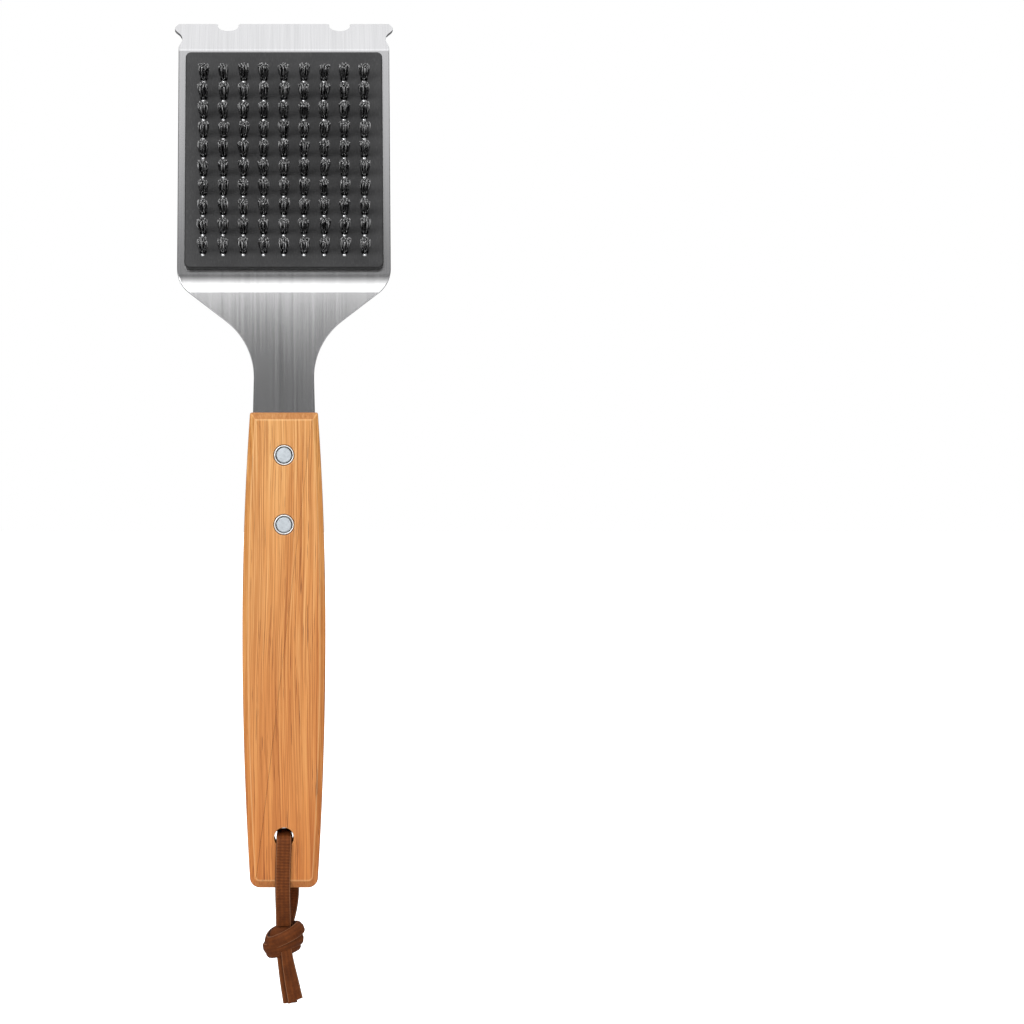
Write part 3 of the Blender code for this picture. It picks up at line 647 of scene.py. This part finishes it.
def rod(name, radius, low, high, matrix, sides=48):
    """A plain rod along z from low to high, placed by the matrix, to cut with."""
    bm = bmesh.new()
    bmesh.ops.create_cone(bm, cap_ends=True, segments=sides, radius1=radius, radius2=radius,
                          depth=high - low)
    bmesh.ops.translate(bm, verts=bm.verts[:], vec=(0.0, 0.0, (high + low) / 2))
    bm.transform(matrix)
    mesh = bpy.data.meshes.new(name)
    bm.to_mesh(mesh)
    bm.free()
    tool = bpy.data.objects.new(name, mesh)
    bpy.context.scene.collection.objects.link(tool)
    return tool


def soften(piece, width, segments=2, angle=32.0):
    """Rounds the piece's sharp edges."""
    rounding = piece.modifiers.new("soft_edges", "BEVEL")
    rounding.width = width
    rounding.segments = segments
    rounding.limit_method = "ANGLE"
    rounding.angle_limit = math.radians(angle)
    rounding.harden_normals = True
    rounding.use_clamp_overlap = False


def keep_flats_flat(piece):
    """Lets the large flat faces set the shading beside their bends and rounded edges."""
    weighting = piece.modifiers.new("flat_faces", "WEIGHTED_NORMAL")
    weighting.keep_sharp = True
    weighting.weight = 90


def make_streaks_group():
    """Long fine scratches up the sheet: a mask from 0 to 1 and a height for the bump."""
    group, wires, given, out = new_group(
        "brushed_streaks", {"Place": "Vector"}, {"Mask": "Float", "Height": "Float"})
    place = given["Place"]
    fine = wires.noise(wires.stretched(place, (620.0, 3.5, 1.0)), 1.0, 2.0, 0.6)
    broad = wires.noise(wires.stretched(place, (190.0, 1.25, 1.0)), 1.0, 3.0, 0.6)
    cloudy = wires.noise(wires.stretched(place, (15.0, 4.0, 1.0)), 1.0, 2.0)
    both = wires.math("MULTIPLY_ADD", fine, 0.6, wires.math("MULTIPLY", broad, 0.4))
    wires.feed(out, "Height", both)
    mask = wires.math("MULTIPLY_ADD", both, 0.8, wires.math("MULTIPLY", cloudy, 0.2))
    wires.feed(out, "Mask", wires.ramp(mask, 0.36, 0.64))
    return group


brushed_streaks = make_streaks_group()


def make_sheet_steel():
    """Stainless sheet with a lengthwise brushed grain, and painted shade darkening its rims to a dark
    outline.
    """
    finish, wires, shader = new_finish("sheet_steel", Metallic=1.0, Anisotropic=0.85)
    way = wires.node("ShaderNodeTangent", {"direction_type": "UV_MAP", "uv_map": "sheet"})
    wires.feed(shader, "Tangent", way.outputs["Tangent"])
    sheet = wires.node("ShaderNodeUVMap", {"uv_map": "sheet"}).outputs["UV"]
    streaks = wires.node("ShaderNodeGroup", {"node_tree": brushed_streaks}, Place=sheet)
    mask, height = streaks.outputs["Mask"], streaks.outputs["Height"]
    # Painted shade: the sheet's rims and their rounding are darkened to a dark outline.
    cut = wires.node("ShaderNodeAttribute", {"attribute_name": "rim_shade"}).outputs["Fac"]
    tone = wires.mix(mask, (0.57, 0.57, 0.575, 1), (0.66, 0.66, 0.665, 1))
    tone = wires.mix(wires.ramp(cut, 0.05, 0.5), tone, (0.20, 0.20, 0.205, 1))
    wires.feed(shader, "Base Color", tone)
    wires.feed(shader, "Roughness", wires.ramp(mask, 0.0, 1.0, 0.165, 0.2))
    wires.feed(shader, "Normal", wires.bump(height, 0.003 * MM, 0.06))
    return finish


sheet_steel = make_sheet_steel()

blade_bm = bmesh.new()
blank = filled_outline(blade_bm, blade_half())
raised = bmesh.ops.extrude_face_region(blade_bm, geom=[blank])
front_verts = [g for g in raised["geom"] if isinstance(g, bmesh.types.BMVert)]
bmesh.ops.translate(blade_bm, verts=blade_bm.verts[:], vec=(0.0, 0.0, -SHEET / 2))
bmesh.ops.translate(blade_bm, verts=front_verts, vec=(0.0, 0.0, SHEET))
bmesh.ops.recalc_face_normals(blade_bm, faces=blade_bm.faces[:])
rims = [e for e in blade_bm.edges if abs(e.verts[0].co.z - e.verts[1].co.z) < SHEET / 2]
bmesh.ops.bevel(blade_bm, geom=rims, offset=SHEET_EDGE, affect="EDGES", segments=3, profile=0.5,
                material=-1, clamp_overlap=False)
flats = [face for face in blade_bm.faces if len(face.verts) > 4]
bmesh.ops.triangulate(blade_bm, faces=flats, ngon_method="BEAUTY")
ground_start = LIP_END - 3.0 * MM
bend_lines, start = [ground_start], 0.0
for length, turn in STRETCHES:
    if turn:
        bends = math.ceil(math.degrees(turn) / 1.5)
        bend_lines += [start + length * i / bends for i in range(bends + 1)]
    start += length
for s in bend_lines:
    bmesh.ops.bisect_plane(
        blade_bm,
        geom=blade_bm.verts[:] + blade_bm.edges[:] + blade_bm.faces[:],
        dist=1e-7,
        plane_co=(0.0, s, 0.0),
        plane_no=(0.0, 1.0, 0.0),
    )
blade_bm.normal_update()
sheet_map = blade_bm.loops.layers.uv.new("sheet")
for face in blade_bm.faces:
    for loop in face.loops:
        loop[sheet_map].uv = (0.5 + loop.vert.co.x * 4.0, 0.5 + loop.vert.co.y * 4.0)
sheet_normals = []
# Marks the sheet's rims for the painted shade of their dark outline.
rim_shade = blade_bm.verts.layers.float.new("rim_shade")
for vert in blade_bm.verts:
    x, s, n = vert.co
    flat = abs(n) > SHEET / 2 - 1e-7
    facing = Vector((0.0, 0.0, math.copysign(1.0, n))) if flat else vert.normal
    vert[rim_shade] = 1.0 - abs(facing.z)
    bent = on_sheet(s)
    sheet_normals.append((bent.to_3x3() @ facing).normalized())
    thinned = 0.6 * MM * max(s - ground_start, 0.0) / (LIP_END - ground_start)
    vert.co = bent @ Vector((x, 0.0, n - thinned * (0.5 + n / SHEET)))
blade = finished_piece("blade_sheet", blade_bm, sheet_steel, 180.0)
blade.data.normals_split_custom_set_from_vertices(sheet_normals)
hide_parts("blade")
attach(blade, "brush")


# ---- Brush block -------------------------------------------------------------------------
# A dark grey moulded plate with rounded edges, one hole for each tuft, and a fine sparked
# texture from its mould. It lies on the head's front.

BLOCK_LOW, BLOCK_HIGH = 8.25 * MM, 115.0 * MM
BLOCK_WIDTH = 93.5 * MM
BLOCK_BACK = SHEET / 2 + 0.3 * MM
BLOCK_FRONT = BLOCK_BACK + 4.0 * MM
TUFT_PITCH = 9.5 * MM
TUFTS_ACROSS = 9
TUFT_ROWS = 10
FIRST_ROW = 16.05 * MM
HEAD_FRAME = (
    Matrix.Translation((0.0, 0.0, NECK_BEND_Z + NECK_SETBACK))
    @ Matrix.Rotation(math.pi / 2 - HEAD_TIP_BACK, 4, "X")
)


def tuft_columns():
    return [TUFT_PITCH * (column - (TUFTS_ACROSS - 1) / 2) for column in range(TUFTS_ACROSS)]


def make_block_plastic():
    """Dark grey plastic with a sparked mould texture in fine lines and polished high spots, and painted
    shade making its side walls near black.
    """
    finish, wires, shader = new_finish("block_plastic", Specular_IOR_Level=0.35)
    source = wires.node("ShaderNodeTexCoord")
    place = source.outputs["Object"]
    # Painted shade: the side walls and the rim's rounding, which face away from the head's front, are made
    # near black.
    facing = wires.node("ShaderNodeVectorMath", {"operation": "DOT_PRODUCT"})
    wires.feed(facing, "0", source.outputs["Normal"])
    wires.feed(facing, "1", HEAD_FRAME.to_3x3() @ Vector((0.0, 0.0, 1.0)))
    flat = wires.ramp(facing.outputs["Value"], 0.55, 0.97)
    drift = wires.node("ShaderNodeGroup", {"node_tree": colour_drift}, Place=place, Scale=70.0,
                       First=(0.036, 0.036, 0.037, 1), Second=(0.047, 0.047, 0.048, 1))
    grain = wires.node("ShaderNodeGroup", {"node_tree": fine_grain}, Place=place, Scale=2300.0)
    lines = wires.noise(wires.stretched(place, (2600.0, 1.0, 420.0)), 1.0, 2.0, 0.6)
    tone = wires.mix(wires.ramp(lines, 0.5, 0.75, 0.0, 0.35), drift.outputs["Tone"],
                     (0.105, 0.105, 0.105, 1))
    wires.feed(shader, "Base Color", wires.mix(flat, (0.006, 0.006, 0.006, 1), tone))
    wires.feed(shader, "Roughness", wires.ramp(grain.outputs["Grain"], 0.0, 1.0, 0.5, 0.72))
    height = wires.math("MULTIPLY_ADD", lines, 0.7, grain.outputs["Height"])
    wires.feed(shader, "Normal", wires.bump(height, 0.08 * MM, 0.7))
    return finish


block_plastic = make_block_plastic()
block_bm = bmesh.new()
side, corner = BLOCK_WIDTH / 2, 2.6 * MM
plate = filled_outline(block_bm, [
    (0.0, BLOCK_LOW),
    *arc((side - corner, BLOCK_LOW + corner), corner, -90.0, 0.0, 9.0),
    *arc((side - corner, BLOCK_HIGH - corner), corner, 0.0, 90.0, 9.0),
    (0.0, BLOCK_HIGH),
])
raised = bmesh.ops.extrude_face_region(block_bm, geom=[plate])
front_verts = [g for g in raised["geom"] if isinstance(g, bmesh.types.BMVert)]
bmesh.ops.translate(block_bm, verts=block_bm.verts[:], vec=(0.0, 0.0, BLOCK_BACK))
bmesh.ops.translate(block_bm, verts=front_verts, vec=(0.0, 0.0, BLOCK_FRONT - BLOCK_BACK))
rim = [e for e in block_bm.edges if all(v in front_verts for v in e.verts)]
bmesh.ops.bevel(block_bm, geom=rim, offset=0.8 * MM, affect="EDGES", segments=4, profile=0.5,
                material=-1)
block_bm.transform(HEAD_FRAME)
block = finished_piece("block_plate", block_bm, block_plastic, 30.0)
tuft_holes = []
for row in range(TUFT_ROWS):
    for column, x in enumerate(tuft_columns()):
        centre = HEAD_FRAME @ Matrix.Translation((x, FIRST_ROW + TUFT_PITCH * row, 0.0))
        tuft_holes.append(
            rod(f"tuft_hole_{row}_{column}", 1.75 * MM, BLOCK_FRONT - 1.6 * MM,
                BLOCK_FRONT + 1.0 * MM, centre, sides=18)
        )
joined = bpy.data.meshes.new("tuft_holes")
holes_bm = bmesh.new()
for hole in tuft_holes:
    holes_bm.from_mesh(hole.data)
    bpy.data.objects.remove(hole)
holes_bm.to_mesh(joined)
holes_bm.free()
hole_tool = bpy.data.objects.new("tuft_holes", joined)
bpy.context.scene.collection.objects.link(hole_tool)
carve(block, [hole_tool])
block.data.shade_smooth()
block.data.set_sharp_from_angle(angle=math.radians(30.0))
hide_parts("brush_block")
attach(block, "brush")


# ---- Bristle tufts -----------------------------------------------------------------------
# Ninety tufts of thick, glossy black nylon filaments. Each tuft is folded over a flat wire
# anchor that wedges it in its hole, and a bright end of the wire shows below its root.

FILAMENT_RADIUS = 0.47 * MM
FILAMENT_SIDES = 6
FILAMENT_STAGES = [0.12, 0.26, 0.45, 0.72, 0.97, 1.0]
FILAMENTS_INSIDE = 4
FILAMENTS_ROUND = 9
TUFT_HEIGHT = 15.4 * MM
# The tuft's radius grows from its root to its crown: (share of the height, radius).
TUFT_PROFILE = [(0.0, 0.95 * MM), (0.12, 1.1 * MM), (0.35, 1.9 * MM), (0.75, 2.3 * MM), (1.0, 2.2 * MM)]
TUFT_FLATNESS = 0.55
TUFT_SWEEP = 0.8 * MM
ROOT_DEPTH = 1.2 * MM
ROOT_SHIFT = 0.3 * MM


def make_bristle_nylon():
    """Glossy black nylon, with painted highlights in grey streaks along the filaments and at their tips.
    """
    finish, wires, shader = new_finish("bristle_nylon", Coat_Roughness=0.1)
    place = wires.node("ShaderNodeTexCoord").outputs["Object"]
    fibre = wires.node("ShaderNodeAttribute", {"attribute_name": "fibre"}).outputs["Vector"]
    height = wires.node("ShaderNodeSeparateXYZ", Vector=fibre).outputs["Z"]
    streaks = wires.noise(wires.stretched(fibre, (1.7, 1.7, 0.9)), 1.0, 2.0, 0.5)
    streaked = wires.ramp(streaks, 0.55, 0.61)
    grain = wires.node("ShaderNodeGroup", {"node_tree": fine_grain}, Place=place, Scale=1900.0)
    # Painted highlights: pale streaks along the upper filaments and pale tips, made rougher and less
    # coated where painted.
    streak_highlights = wires.math("MULTIPLY", streaked, wires.ramp(height, 0.40, 0.90))
    tip_highlights = wires.math("MULTIPLY", wires.ramp(height, 0.94, 0.99),
                     wires.ramp(grain.outputs["Grain"], 0.3, 0.8, 0.0, 0.25))
    pale = wires.math("MAXIMUM", streak_highlights, tip_highlights)
    wires.feed(shader, "Base Color", wires.mix(pale, (0.004, 0.004, 0.005, 1), (0.80, 0.80, 0.80, 1)))
    wires.feed(shader, "Roughness", wires.ramp(pale, 0.0, 1.0, 0.2, 0.4))
    wires.feed(shader, "Coat Weight", wires.ramp(pale, 0.0, 1.0, 0.5, 0.15))
    wires.feed(shader, "Normal", wires.bump(grain.outputs["Height"], 0.03 * MM, 0.4))
    return finish


def tuft_radius(share):
    """How far out the outer filaments stand at one share of the tuft's height."""
    for (low, near), (high, far) in zip(TUFT_PROFILE, TUFT_PROFILE[1:]):
        if share <= high:
            return near + (far - near) * (share - low) / (high - low)
    return TUFT_PROFILE[-1][1]


bristle_nylon = make_bristle_nylon()
filament_bm = bmesh.new()
bmesh.ops.create_circle(filament_bm, cap_ends=True, segments=FILAMENT_SIDES, radius=1.0)
for stage in FILAMENT_STAGES:
    top = max(filament_bm.faces, key=lambda face: face.calc_center_median().z)
    grown = bmesh.ops.extrude_discrete_faces(filament_bm, faces=[top])["faces"][0]
    for vert in grown.verts:
        vert.co.z = stage
rounded = [vert for vert in filament_bm.verts if vert.co.z > 0.999]
bmesh.ops.scale(filament_bm, verts=rounded, vec=(0.55, 0.55, 1.0))
filament_mesh = bpy.data.meshes.new("filament")
filament_bm.to_mesh(filament_mesh)
filament_bm.free()

draw = random.Random(41)
for row in range(TUFT_ROWS):
    row_bm = bmesh.new()
    fibre_layer = row_bm.verts.layers.float_vector.new("fibre")
    u = FIRST_ROW + TUFT_PITCH * row + ROOT_SHIFT
    for x in tuft_columns():
        spin = draw.uniform(0.0, math.tau)
        lean = Vector((draw.gauss(0.0, 0.22), draw.gauss(0.0, 0.16))) * MM
        for number in range(FILAMENTS_INSIDE + FILAMENTS_ROUND):
            if number < FILAMENTS_INSIDE:
                turn, ring = spin + math.tau * number / FILAMENTS_INSIDE, 0.42
            else:
                turn, ring = spin + math.tau * number / FILAMENTS_ROUND, 1.0
            turn += draw.uniform(-0.2, 0.2)
            way = Vector((math.cos(turn), math.sin(turn)))
            spread = ring * draw.uniform(0.82, 1.08)
            height = TUFT_HEIGHT * draw.uniform(0.93, 1.0)
            seed = Vector((draw.uniform(0.0, 90.0), draw.uniform(0.0, 90.0)))
            known = len(row_bm.verts)
            row_bm.from_mesh(filament_mesh)
            row_bm.verts.ensure_lookup_table()
            for vert in row_bm.verts[known:]:
                share = vert.co.z
                vert[fibre_layer] = (seed.x + vert.co.x, seed.y + vert.co.y, share)
                shift = way * tuft_radius(share) * (ring + (spread - ring) * share)
                shift.y *= 1.0 + (TUFT_FLATNESS - 1.0) * min(1.0, share / 0.3)
                shift += (lean + Vector((0.0, TUFT_SWEEP))) * share ** 1.5
                vert.co = Vector((
                    x + shift.x + vert.co.x * FILAMENT_RADIUS,
                    u + shift.y + vert.co.y * FILAMENT_RADIUS,
                    BLOCK_FRONT - ROOT_DEPTH + (height + ROOT_DEPTH) * share,
                ))
    row_bm.transform(HEAD_FRAME)
    tuft_row = finished_piece(f"tufts_row_{row + 1:02d}", row_bm, bristle_nylon, 75.0)
    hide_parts(f"bristle_row_{row + 1:02d}")
    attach(tuft_row, "brush")


def make_rivet_steel(name, dull, bright, smoothest, roughest):
    """Turned steel that drifts between two tones, with a faint cloud of handling marks."""
    finish, wires, shader = new_finish(name, Metallic=1.0)
    place = wires.node("ShaderNodeTexCoord").outputs["Object"]
    drift = wires.node("ShaderNodeGroup", {"node_tree": colour_drift}, Place=place, Scale=700.0,
                       First=dull, Second=bright)
    grain = wires.node("ShaderNodeGroup", {"node_tree": fine_grain}, Place=place, Scale=3200.0)
    wires.feed(shader, "Base Color", drift.outputs["Tone"])
    wires.feed(shader, "Roughness", wires.ramp(drift.outputs["Mask"], 0.0, 1.0, smoothest, roughest))
    wires.feed(shader, "Normal", wires.bump(grain.outputs["Height"], 0.01 * MM, 0.2))
    return finish


polished_steel = make_rivet_steel("polished_steel", (0.70, 0.705, 0.71, 1), (0.80, 0.805, 0.81, 1),
                                  0.24, 0.34)
anchor_bm = bmesh.new()
for row in range(TUFT_ROWS):
    for x in tuft_columns():
        made = bmesh.ops.create_uvsphere(anchor_bm, u_segments=8, v_segments=6, radius=0.5)
        bmesh.ops.scale(anchor_bm, verts=made["verts"], vec=(2.1 * MM, 1.8 * MM, 1.3 * MM))
        place = (x - 0.1 * MM, FIRST_ROW + TUFT_PITCH * row - 1.7 * MM, BLOCK_FRONT + 0.1 * MM)
        bmesh.ops.translate(anchor_bm, verts=made["verts"], vec=place)
anchor_bm.transform(HEAD_FRAME)
anchors = finished_piece("tuft_anchors", anchor_bm, polished_steel, 80.0)
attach(anchors, "brush")


# ---- Block rivets ------------------------------------------------------------------------
# Three small steel rivets hold the block to the head. Their domed heads lie on the head's
# back, pressed down a little so that their rims are crisp.

BLOCK_RIVETS = {"top": (0.0, 97.8), "left": (-31.3, 23.3), "right": (31.3, 23.3)}
RIVET_RIM = 3.2 * MM
RIVET_DOME = 1.5 * MM


def turned(name, profile, finish, place, steps=48):
    """A piece turned about z from its (radius, height) profile, then placed by a matrix."""
    bm = bmesh.new()
    verts = [bmesh.ops.create_vert(bm, co=(r, 0.0, h))["vert"][0] for r, h in profile]
    edges = [bm.edges.new(pair) for pair in zip(verts, verts[1:])]
    bmesh.ops.spin(bm, geom=verts + edges, cent=(0, 0, 0), axis=(0, 0, 1), angle=math.tau,
                   steps=steps, use_merge=True)
    bmesh.ops.remove_doubles(bm, verts=bm.verts[:], dist=0.004 * MM)
    bm.transform(place)
    return finished_piece(name, bm, finish, 35.0)


for name, (x, u) in BLOCK_RIVETS.items():
    seat = -SHEET / 2
    dome = [(RIVET_RIM * math.cos(a), seat - 0.25 * MM - (RIVET_DOME - 0.25 * MM) * math.sin(a))
            for a in [math.radians(10 * step) for step in range(9)]]
    profile = [(0.0, seat + 0.2 * MM), (RIVET_RIM - 0.25 * MM, seat + 0.2 * MM),
               (RIVET_RIM, seat - 0.05 * MM), *dome, (0.0, seat - RIVET_DOME)]
    place = HEAD_FRAME @ Matrix.Translation((x * MM, u * MM, 0.0))
    rivet = turned(f"rivet_head_{name}", profile, polished_steel, place)
    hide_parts(f"block_rivet_{name}")
    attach(rivet, "brush")


# ---- Handle ------------------------------------------------------------------------------
# One flat plank of honey-coloured wood, bowed at its sides and chamfered round both faces,
# oiled and satin. A saw slot takes the tang, and two rivets and a hanging hole go through it.

HANDLE_HALF = 111.2 * MM
HANDLE_FACE = 9.0 * MM
CHAMFER_DEPTH = 2.2 * MM
CHAMFER_SIDE = 2.6 * MM
CHAMFER_END = 3.6 * MM
HANDLE_RIVET_Z = {"upper": 91.2 * MM, "lower": 58.7 * MM}
HANGING_HOLE_Z = -87.5 * MM


def handle_half_width(z):
    end_z, end_width = (HANDLE_HALF, 31.8 * MM) if z > 8.0 * MM else (-HANDLE_HALF, 31.4 * MM)
    share = (z - 8.0 * MM) / (end_z - 8.0 * MM)
    return (39.0 * MM - (39.0 * MM - end_width) * share ** 2) / 2


def handle_loop(bm, y, side_inset, end_inset):
    """A closed loop of edges round the handle at one depth, drawn in by the two insets."""
    low_corner = 4.8 * MM - side_inset
    high_corner = 1.0 * MM * low_corner / (4.8 * MM)
    low = -HANDLE_HALF + end_inset + low_corner
    high = HANDLE_HALF - end_inset - high_corner
    low_x = handle_half_width(low) - side_inset - low_corner
    high_x = handle_half_width(high) - side_inset - high_corner
    side = [low + (high - low) * i / 40 for i in range(1, 40)]
    right = [
        (0.0, low - low_corner),
        *arc((low_x, low), low_corner, -90.0, 0.0, 7.5),
        *[(handle_half_width(z) - side_inset, z) for z in side],
        *arc((high_x, high), high_corner, 0.0, 90.0, 18.0),
        (0.0, high + high_corner),
    ]
    whole = right + [(-x, z) for x, z in reversed(right[1:-1])]
    verts = [bmesh.ops.create_vert(bm, co=(x, y, z))["vert"][0] for x, z in whole]
    return [bm.edges.new((a, b)) for a, b in zip(verts, verts[1:] + verts[:1])]


def make_handle_wood():
    """Honey-coloured wood: broad bands, fine grain lines, short dark pores and dark end grain, with
    painted shade lower down, on the narrow sides and partly on the ends, and a painted highlight along the
    face edges.
    """
    finish, wires, shader = new_finish("handle_wood", Coat_Roughness=0.3, Specular_IOR_Level=0.4)
    source = wires.node("ShaderNodeTexCoord")
    place = source.outputs["Object"]
    sway = wires.noise(wires.stretched(place, (22.0, 22.0, 7.0)), 1.0, 2.0)
    bend = wires.math("MULTIPLY", wires.math("SUBTRACT", sway, 0.5), 9.0 * MM)
    shift = wires.node("ShaderNodeCombineXYZ", X=bend).outputs["Vector"]
    bent = wires.node("ShaderNodeVectorMath", {"operation": "ADD"})
    wires.feed(bent, "0", place)
    wires.feed(bent, "1", shift)
    way = bent.outputs["Vector"]
    bands = wires.node("ShaderNodeGroup", {"node_tree": colour_drift},
                       Place=wires.stretched(way, (330.0, 120.0, 4.5)), Scale=1.0,
                       First=(0.84, 0.430, 0.140, 1), Second=(0.63, 0.270, 0.068, 1))
    lines = wires.noise(wires.stretched(way, (1900.0, 700.0, 17.0)), 1.0, 3.0, 0.6)
    pores = wires.noise(wires.stretched(way, (2300.0, 1500.0, 40.0)), 1.0, 2.0, 0.5)
    figure = wires.ramp(wires.noise(wires.stretched(way, (75.0, 75.0, 7.0)), 1.0, 2.0), 0.42, 0.62)
    tone = wires.mix(wires.math("MULTIPLY", figure, 0.42), bands.outputs["Tone"],
                     (0.70, 0.270, 0.056, 1))
    line_marks = wires.math("MULTIPLY", wires.ramp(lines, 0.49, 0.62, 0.0, 0.95),
                            wires.ramp(figure, 0.0, 1.0, 0.55, 1.0))
    tone = wires.mix(line_marks, tone, (0.45, 0.160, 0.029, 1))
    tone = wires.mix(wires.ramp(lines, 0.34, 0.46, 0.6, 0.0), tone, (0.92, 0.56, 0.23, 1))
    pore_marks = wires.ramp(pores, 0.66, 0.71)
    tone = wires.mix(wires.math("MULTIPLY", pore_marks, 0.85), tone, (0.20, 0.050, 0.008, 1))
    # Painted shade: the wood is darkened from the top end towards the bottom end.
    height_up = wires.node("ShaderNodeSeparateXYZ", Vector=place).outputs["Z"]
    lower_shade = wires.ramp(height_up, HANDLE_HALF, -HANDLE_HALF)
    tone = wires.mix(lower_shade, tone, (0.82, 0.56, 0.35, 1), "MULTIPLY")
    facing = wires.node("ShaderNodeSeparateXYZ", Vector=source.outputs["Normal"])
    outward = wires.math("ABSOLUTE", facing.outputs["Y"])
    # Ends and end chamfers are darker: end grain takes up more oil, and the top chamfer's darkening is
    # also painted shade.
    end_grain_and_shade = wires.ramp(wires.math("ABSOLUTE", facing.outputs["Z"]), 0.40, 0.5)
    tone = wires.mix(wires.math("MULTIPLY", end_grain_and_shade, 0.55), tone, (0.42, 0.145, 0.03, 1))
    # Painted highlight: a pale band on the rounded edges between the faces and their chamfers.
    edge_highlight = wires.math("MULTIPLY", wires.ramp(outward, 0.999, 0.985), wires.ramp(outward, 0.86, 0.89))
    tone = wires.mix(wires.math("MULTIPLY", edge_highlight, 0.28), tone, (0.98, 0.62, 0.28, 1))
    # Painted shade: the narrow sides and ends, which face across the plank, are darkened.
    tone = wires.mix(wires.ramp(outward, 0.70, 0.35, 0.0, 0.6), tone, (0.30, 0.10, 0.02, 1))
    wires.feed(shader, "Base Color", tone)
    wires.feed(shader, "Roughness", wires.ramp(lines, 0.3, 0.7, 0.42, 0.56))
    wires.feed(shader, "Coat Weight", wires.ramp(pore_marks, 0.0, 1.0, 0.14, 0.0))
    height = wires.math("MULTIPLY_ADD", lines, -0.5, wires.math("MULTIPLY", pore_marks, -0.8))
    wires.feed(shader, "Normal", wires.bump(height, 0.05 * MM, 0.6))
    return finish


handle_wood = make_handle_wood()
handle_bm = bmesh.new()
edge_y = HANDLE_FACE - CHAMFER_DEPTH
loops = [
    handle_loop(handle_bm, HANDLE_FACE, CHAMFER_SIDE, CHAMFER_END),
    handle_loop(handle_bm, edge_y, 0.0, 0.0),
    handle_loop(handle_bm, -edge_y, 0.0, 0.0),
    handle_loop(handle_bm, -HANDLE_FACE, CHAMFER_SIDE, CHAMFER_END),
]
for low, high in zip(loops, loops[1:]):
    bmesh.ops.bridge_loops(handle_bm, edges=low + high)
for loop in (loops[0], loops[-1]):
    bmesh.ops.contextual_create(handle_bm, geom=loop)
handle = finished_piece("handle_plank", handle_bm, handle_wood, 20.0)


def through(z, y=0.0):
    """Lays a rod or a turned piece along the handle's thickness at one height."""
    return Matrix.Translation((0.0, y, z)) @ Matrix.Rotation(-math.pi / 2, 4, "X")


tools = [rod(f"rivet_hole_{name}", 4.85 * MM, -0.01, 0.01, through(z)) for name, z in
         HANDLE_RIVET_Z.items()]
tools.append(rod("hanging_hole", 4.5 * MM, -0.01, 0.01, through(HANGING_HOLE_Z)))
slot_bm = bmesh.new()
bmesh.ops.create_cube(slot_bm, size=1.0)
bmesh.ops.scale(slot_bm, verts=slot_bm.verts[:], vec=(0.045, SHEET + 0.6 * MM, 0.0672))
bmesh.ops.translate(slot_bm, verts=slot_bm.verts[:], vec=(0.0, 0.0, 0.0783))
slot_mesh = bpy.data.meshes.new("tang_slot")
slot_bm.to_mesh(slot_mesh)
slot_bm.free()
slot_tool = bpy.data.objects.new("tang_slot", slot_mesh)
bpy.context.scene.collection.objects.link(slot_tool)
carve(handle, [*tools, slot_tool])
handle.data.shade_smooth()
handle.data.set_sharp_from_angle(angle=math.radians(20.0))
soften(handle, 0.55 * MM, 4, 24.0)
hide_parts("handle")
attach(handle, "brush")


# ---- Handle rivets -----------------------------------------------------------------------
# Each is a thin steel sleeve through wood and tang, filled by a solid pin. Both are ground
# just under the wood, the sleeve with a rounded rim and the pin with a flat face.

sleeve_steel = make_rivet_steel("sleeve_steel", (0.86, 0.86, 0.85, 1), (0.94, 0.94, 0.93, 1), 0.40, 0.5)
pin_steel = make_rivet_steel("pin_steel", (0.46, 0.50, 0.53, 1), (0.56, 0.60, 0.63, 1), 0.42, 0.55)

for name, z in HANDLE_RIVET_Z.items():
    outer, bore, reach = 4.7 * MM, 4.0 * MM, 8.92 * MM
    ring = [(outer, reach - 0.5 * MM), (outer - 0.06 * MM, reach - 0.22 * MM),
            (outer - 0.2 * MM, reach - 0.05 * MM), (outer - 0.35 * MM, reach),
            (bore + 0.17 * MM, reach - 0.04 * MM), (bore + 0.05 * MM, reach - 0.18 * MM),
            (bore, reach - 0.45 * MM)]
    profile = [*ring, *[(r, -h) for r, h in reversed(ring)], ring[0]]
    sleeve = turned(f"rivet_sleeve_{name}", profile, sleeve_steel, through(z), 64)
    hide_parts(f"handle_rivet_sleeve_{name}")
    pin_r, pin_h = 3.55 * MM, 8.75 * MM
    face = [(0.0, pin_h), (pin_r - 0.36 * MM, pin_h), (pin_r - 0.30 * MM, pin_h - 0.02 * MM),
            (pin_r - 0.05 * MM, pin_h - 0.2 * MM), (pin_r, pin_h - 0.4 * MM)]
    profile = [*face, *[(r, -h) for r, h in reversed(face)]]
    pin = turned(f"rivet_pin_{name}", profile, pin_steel, through(z), 64)
    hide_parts(f"handle_rivet_pin_{name}")
    for piece in (sleeve, pin):
        keep_flats_flat(piece)
        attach(piece, "brush")
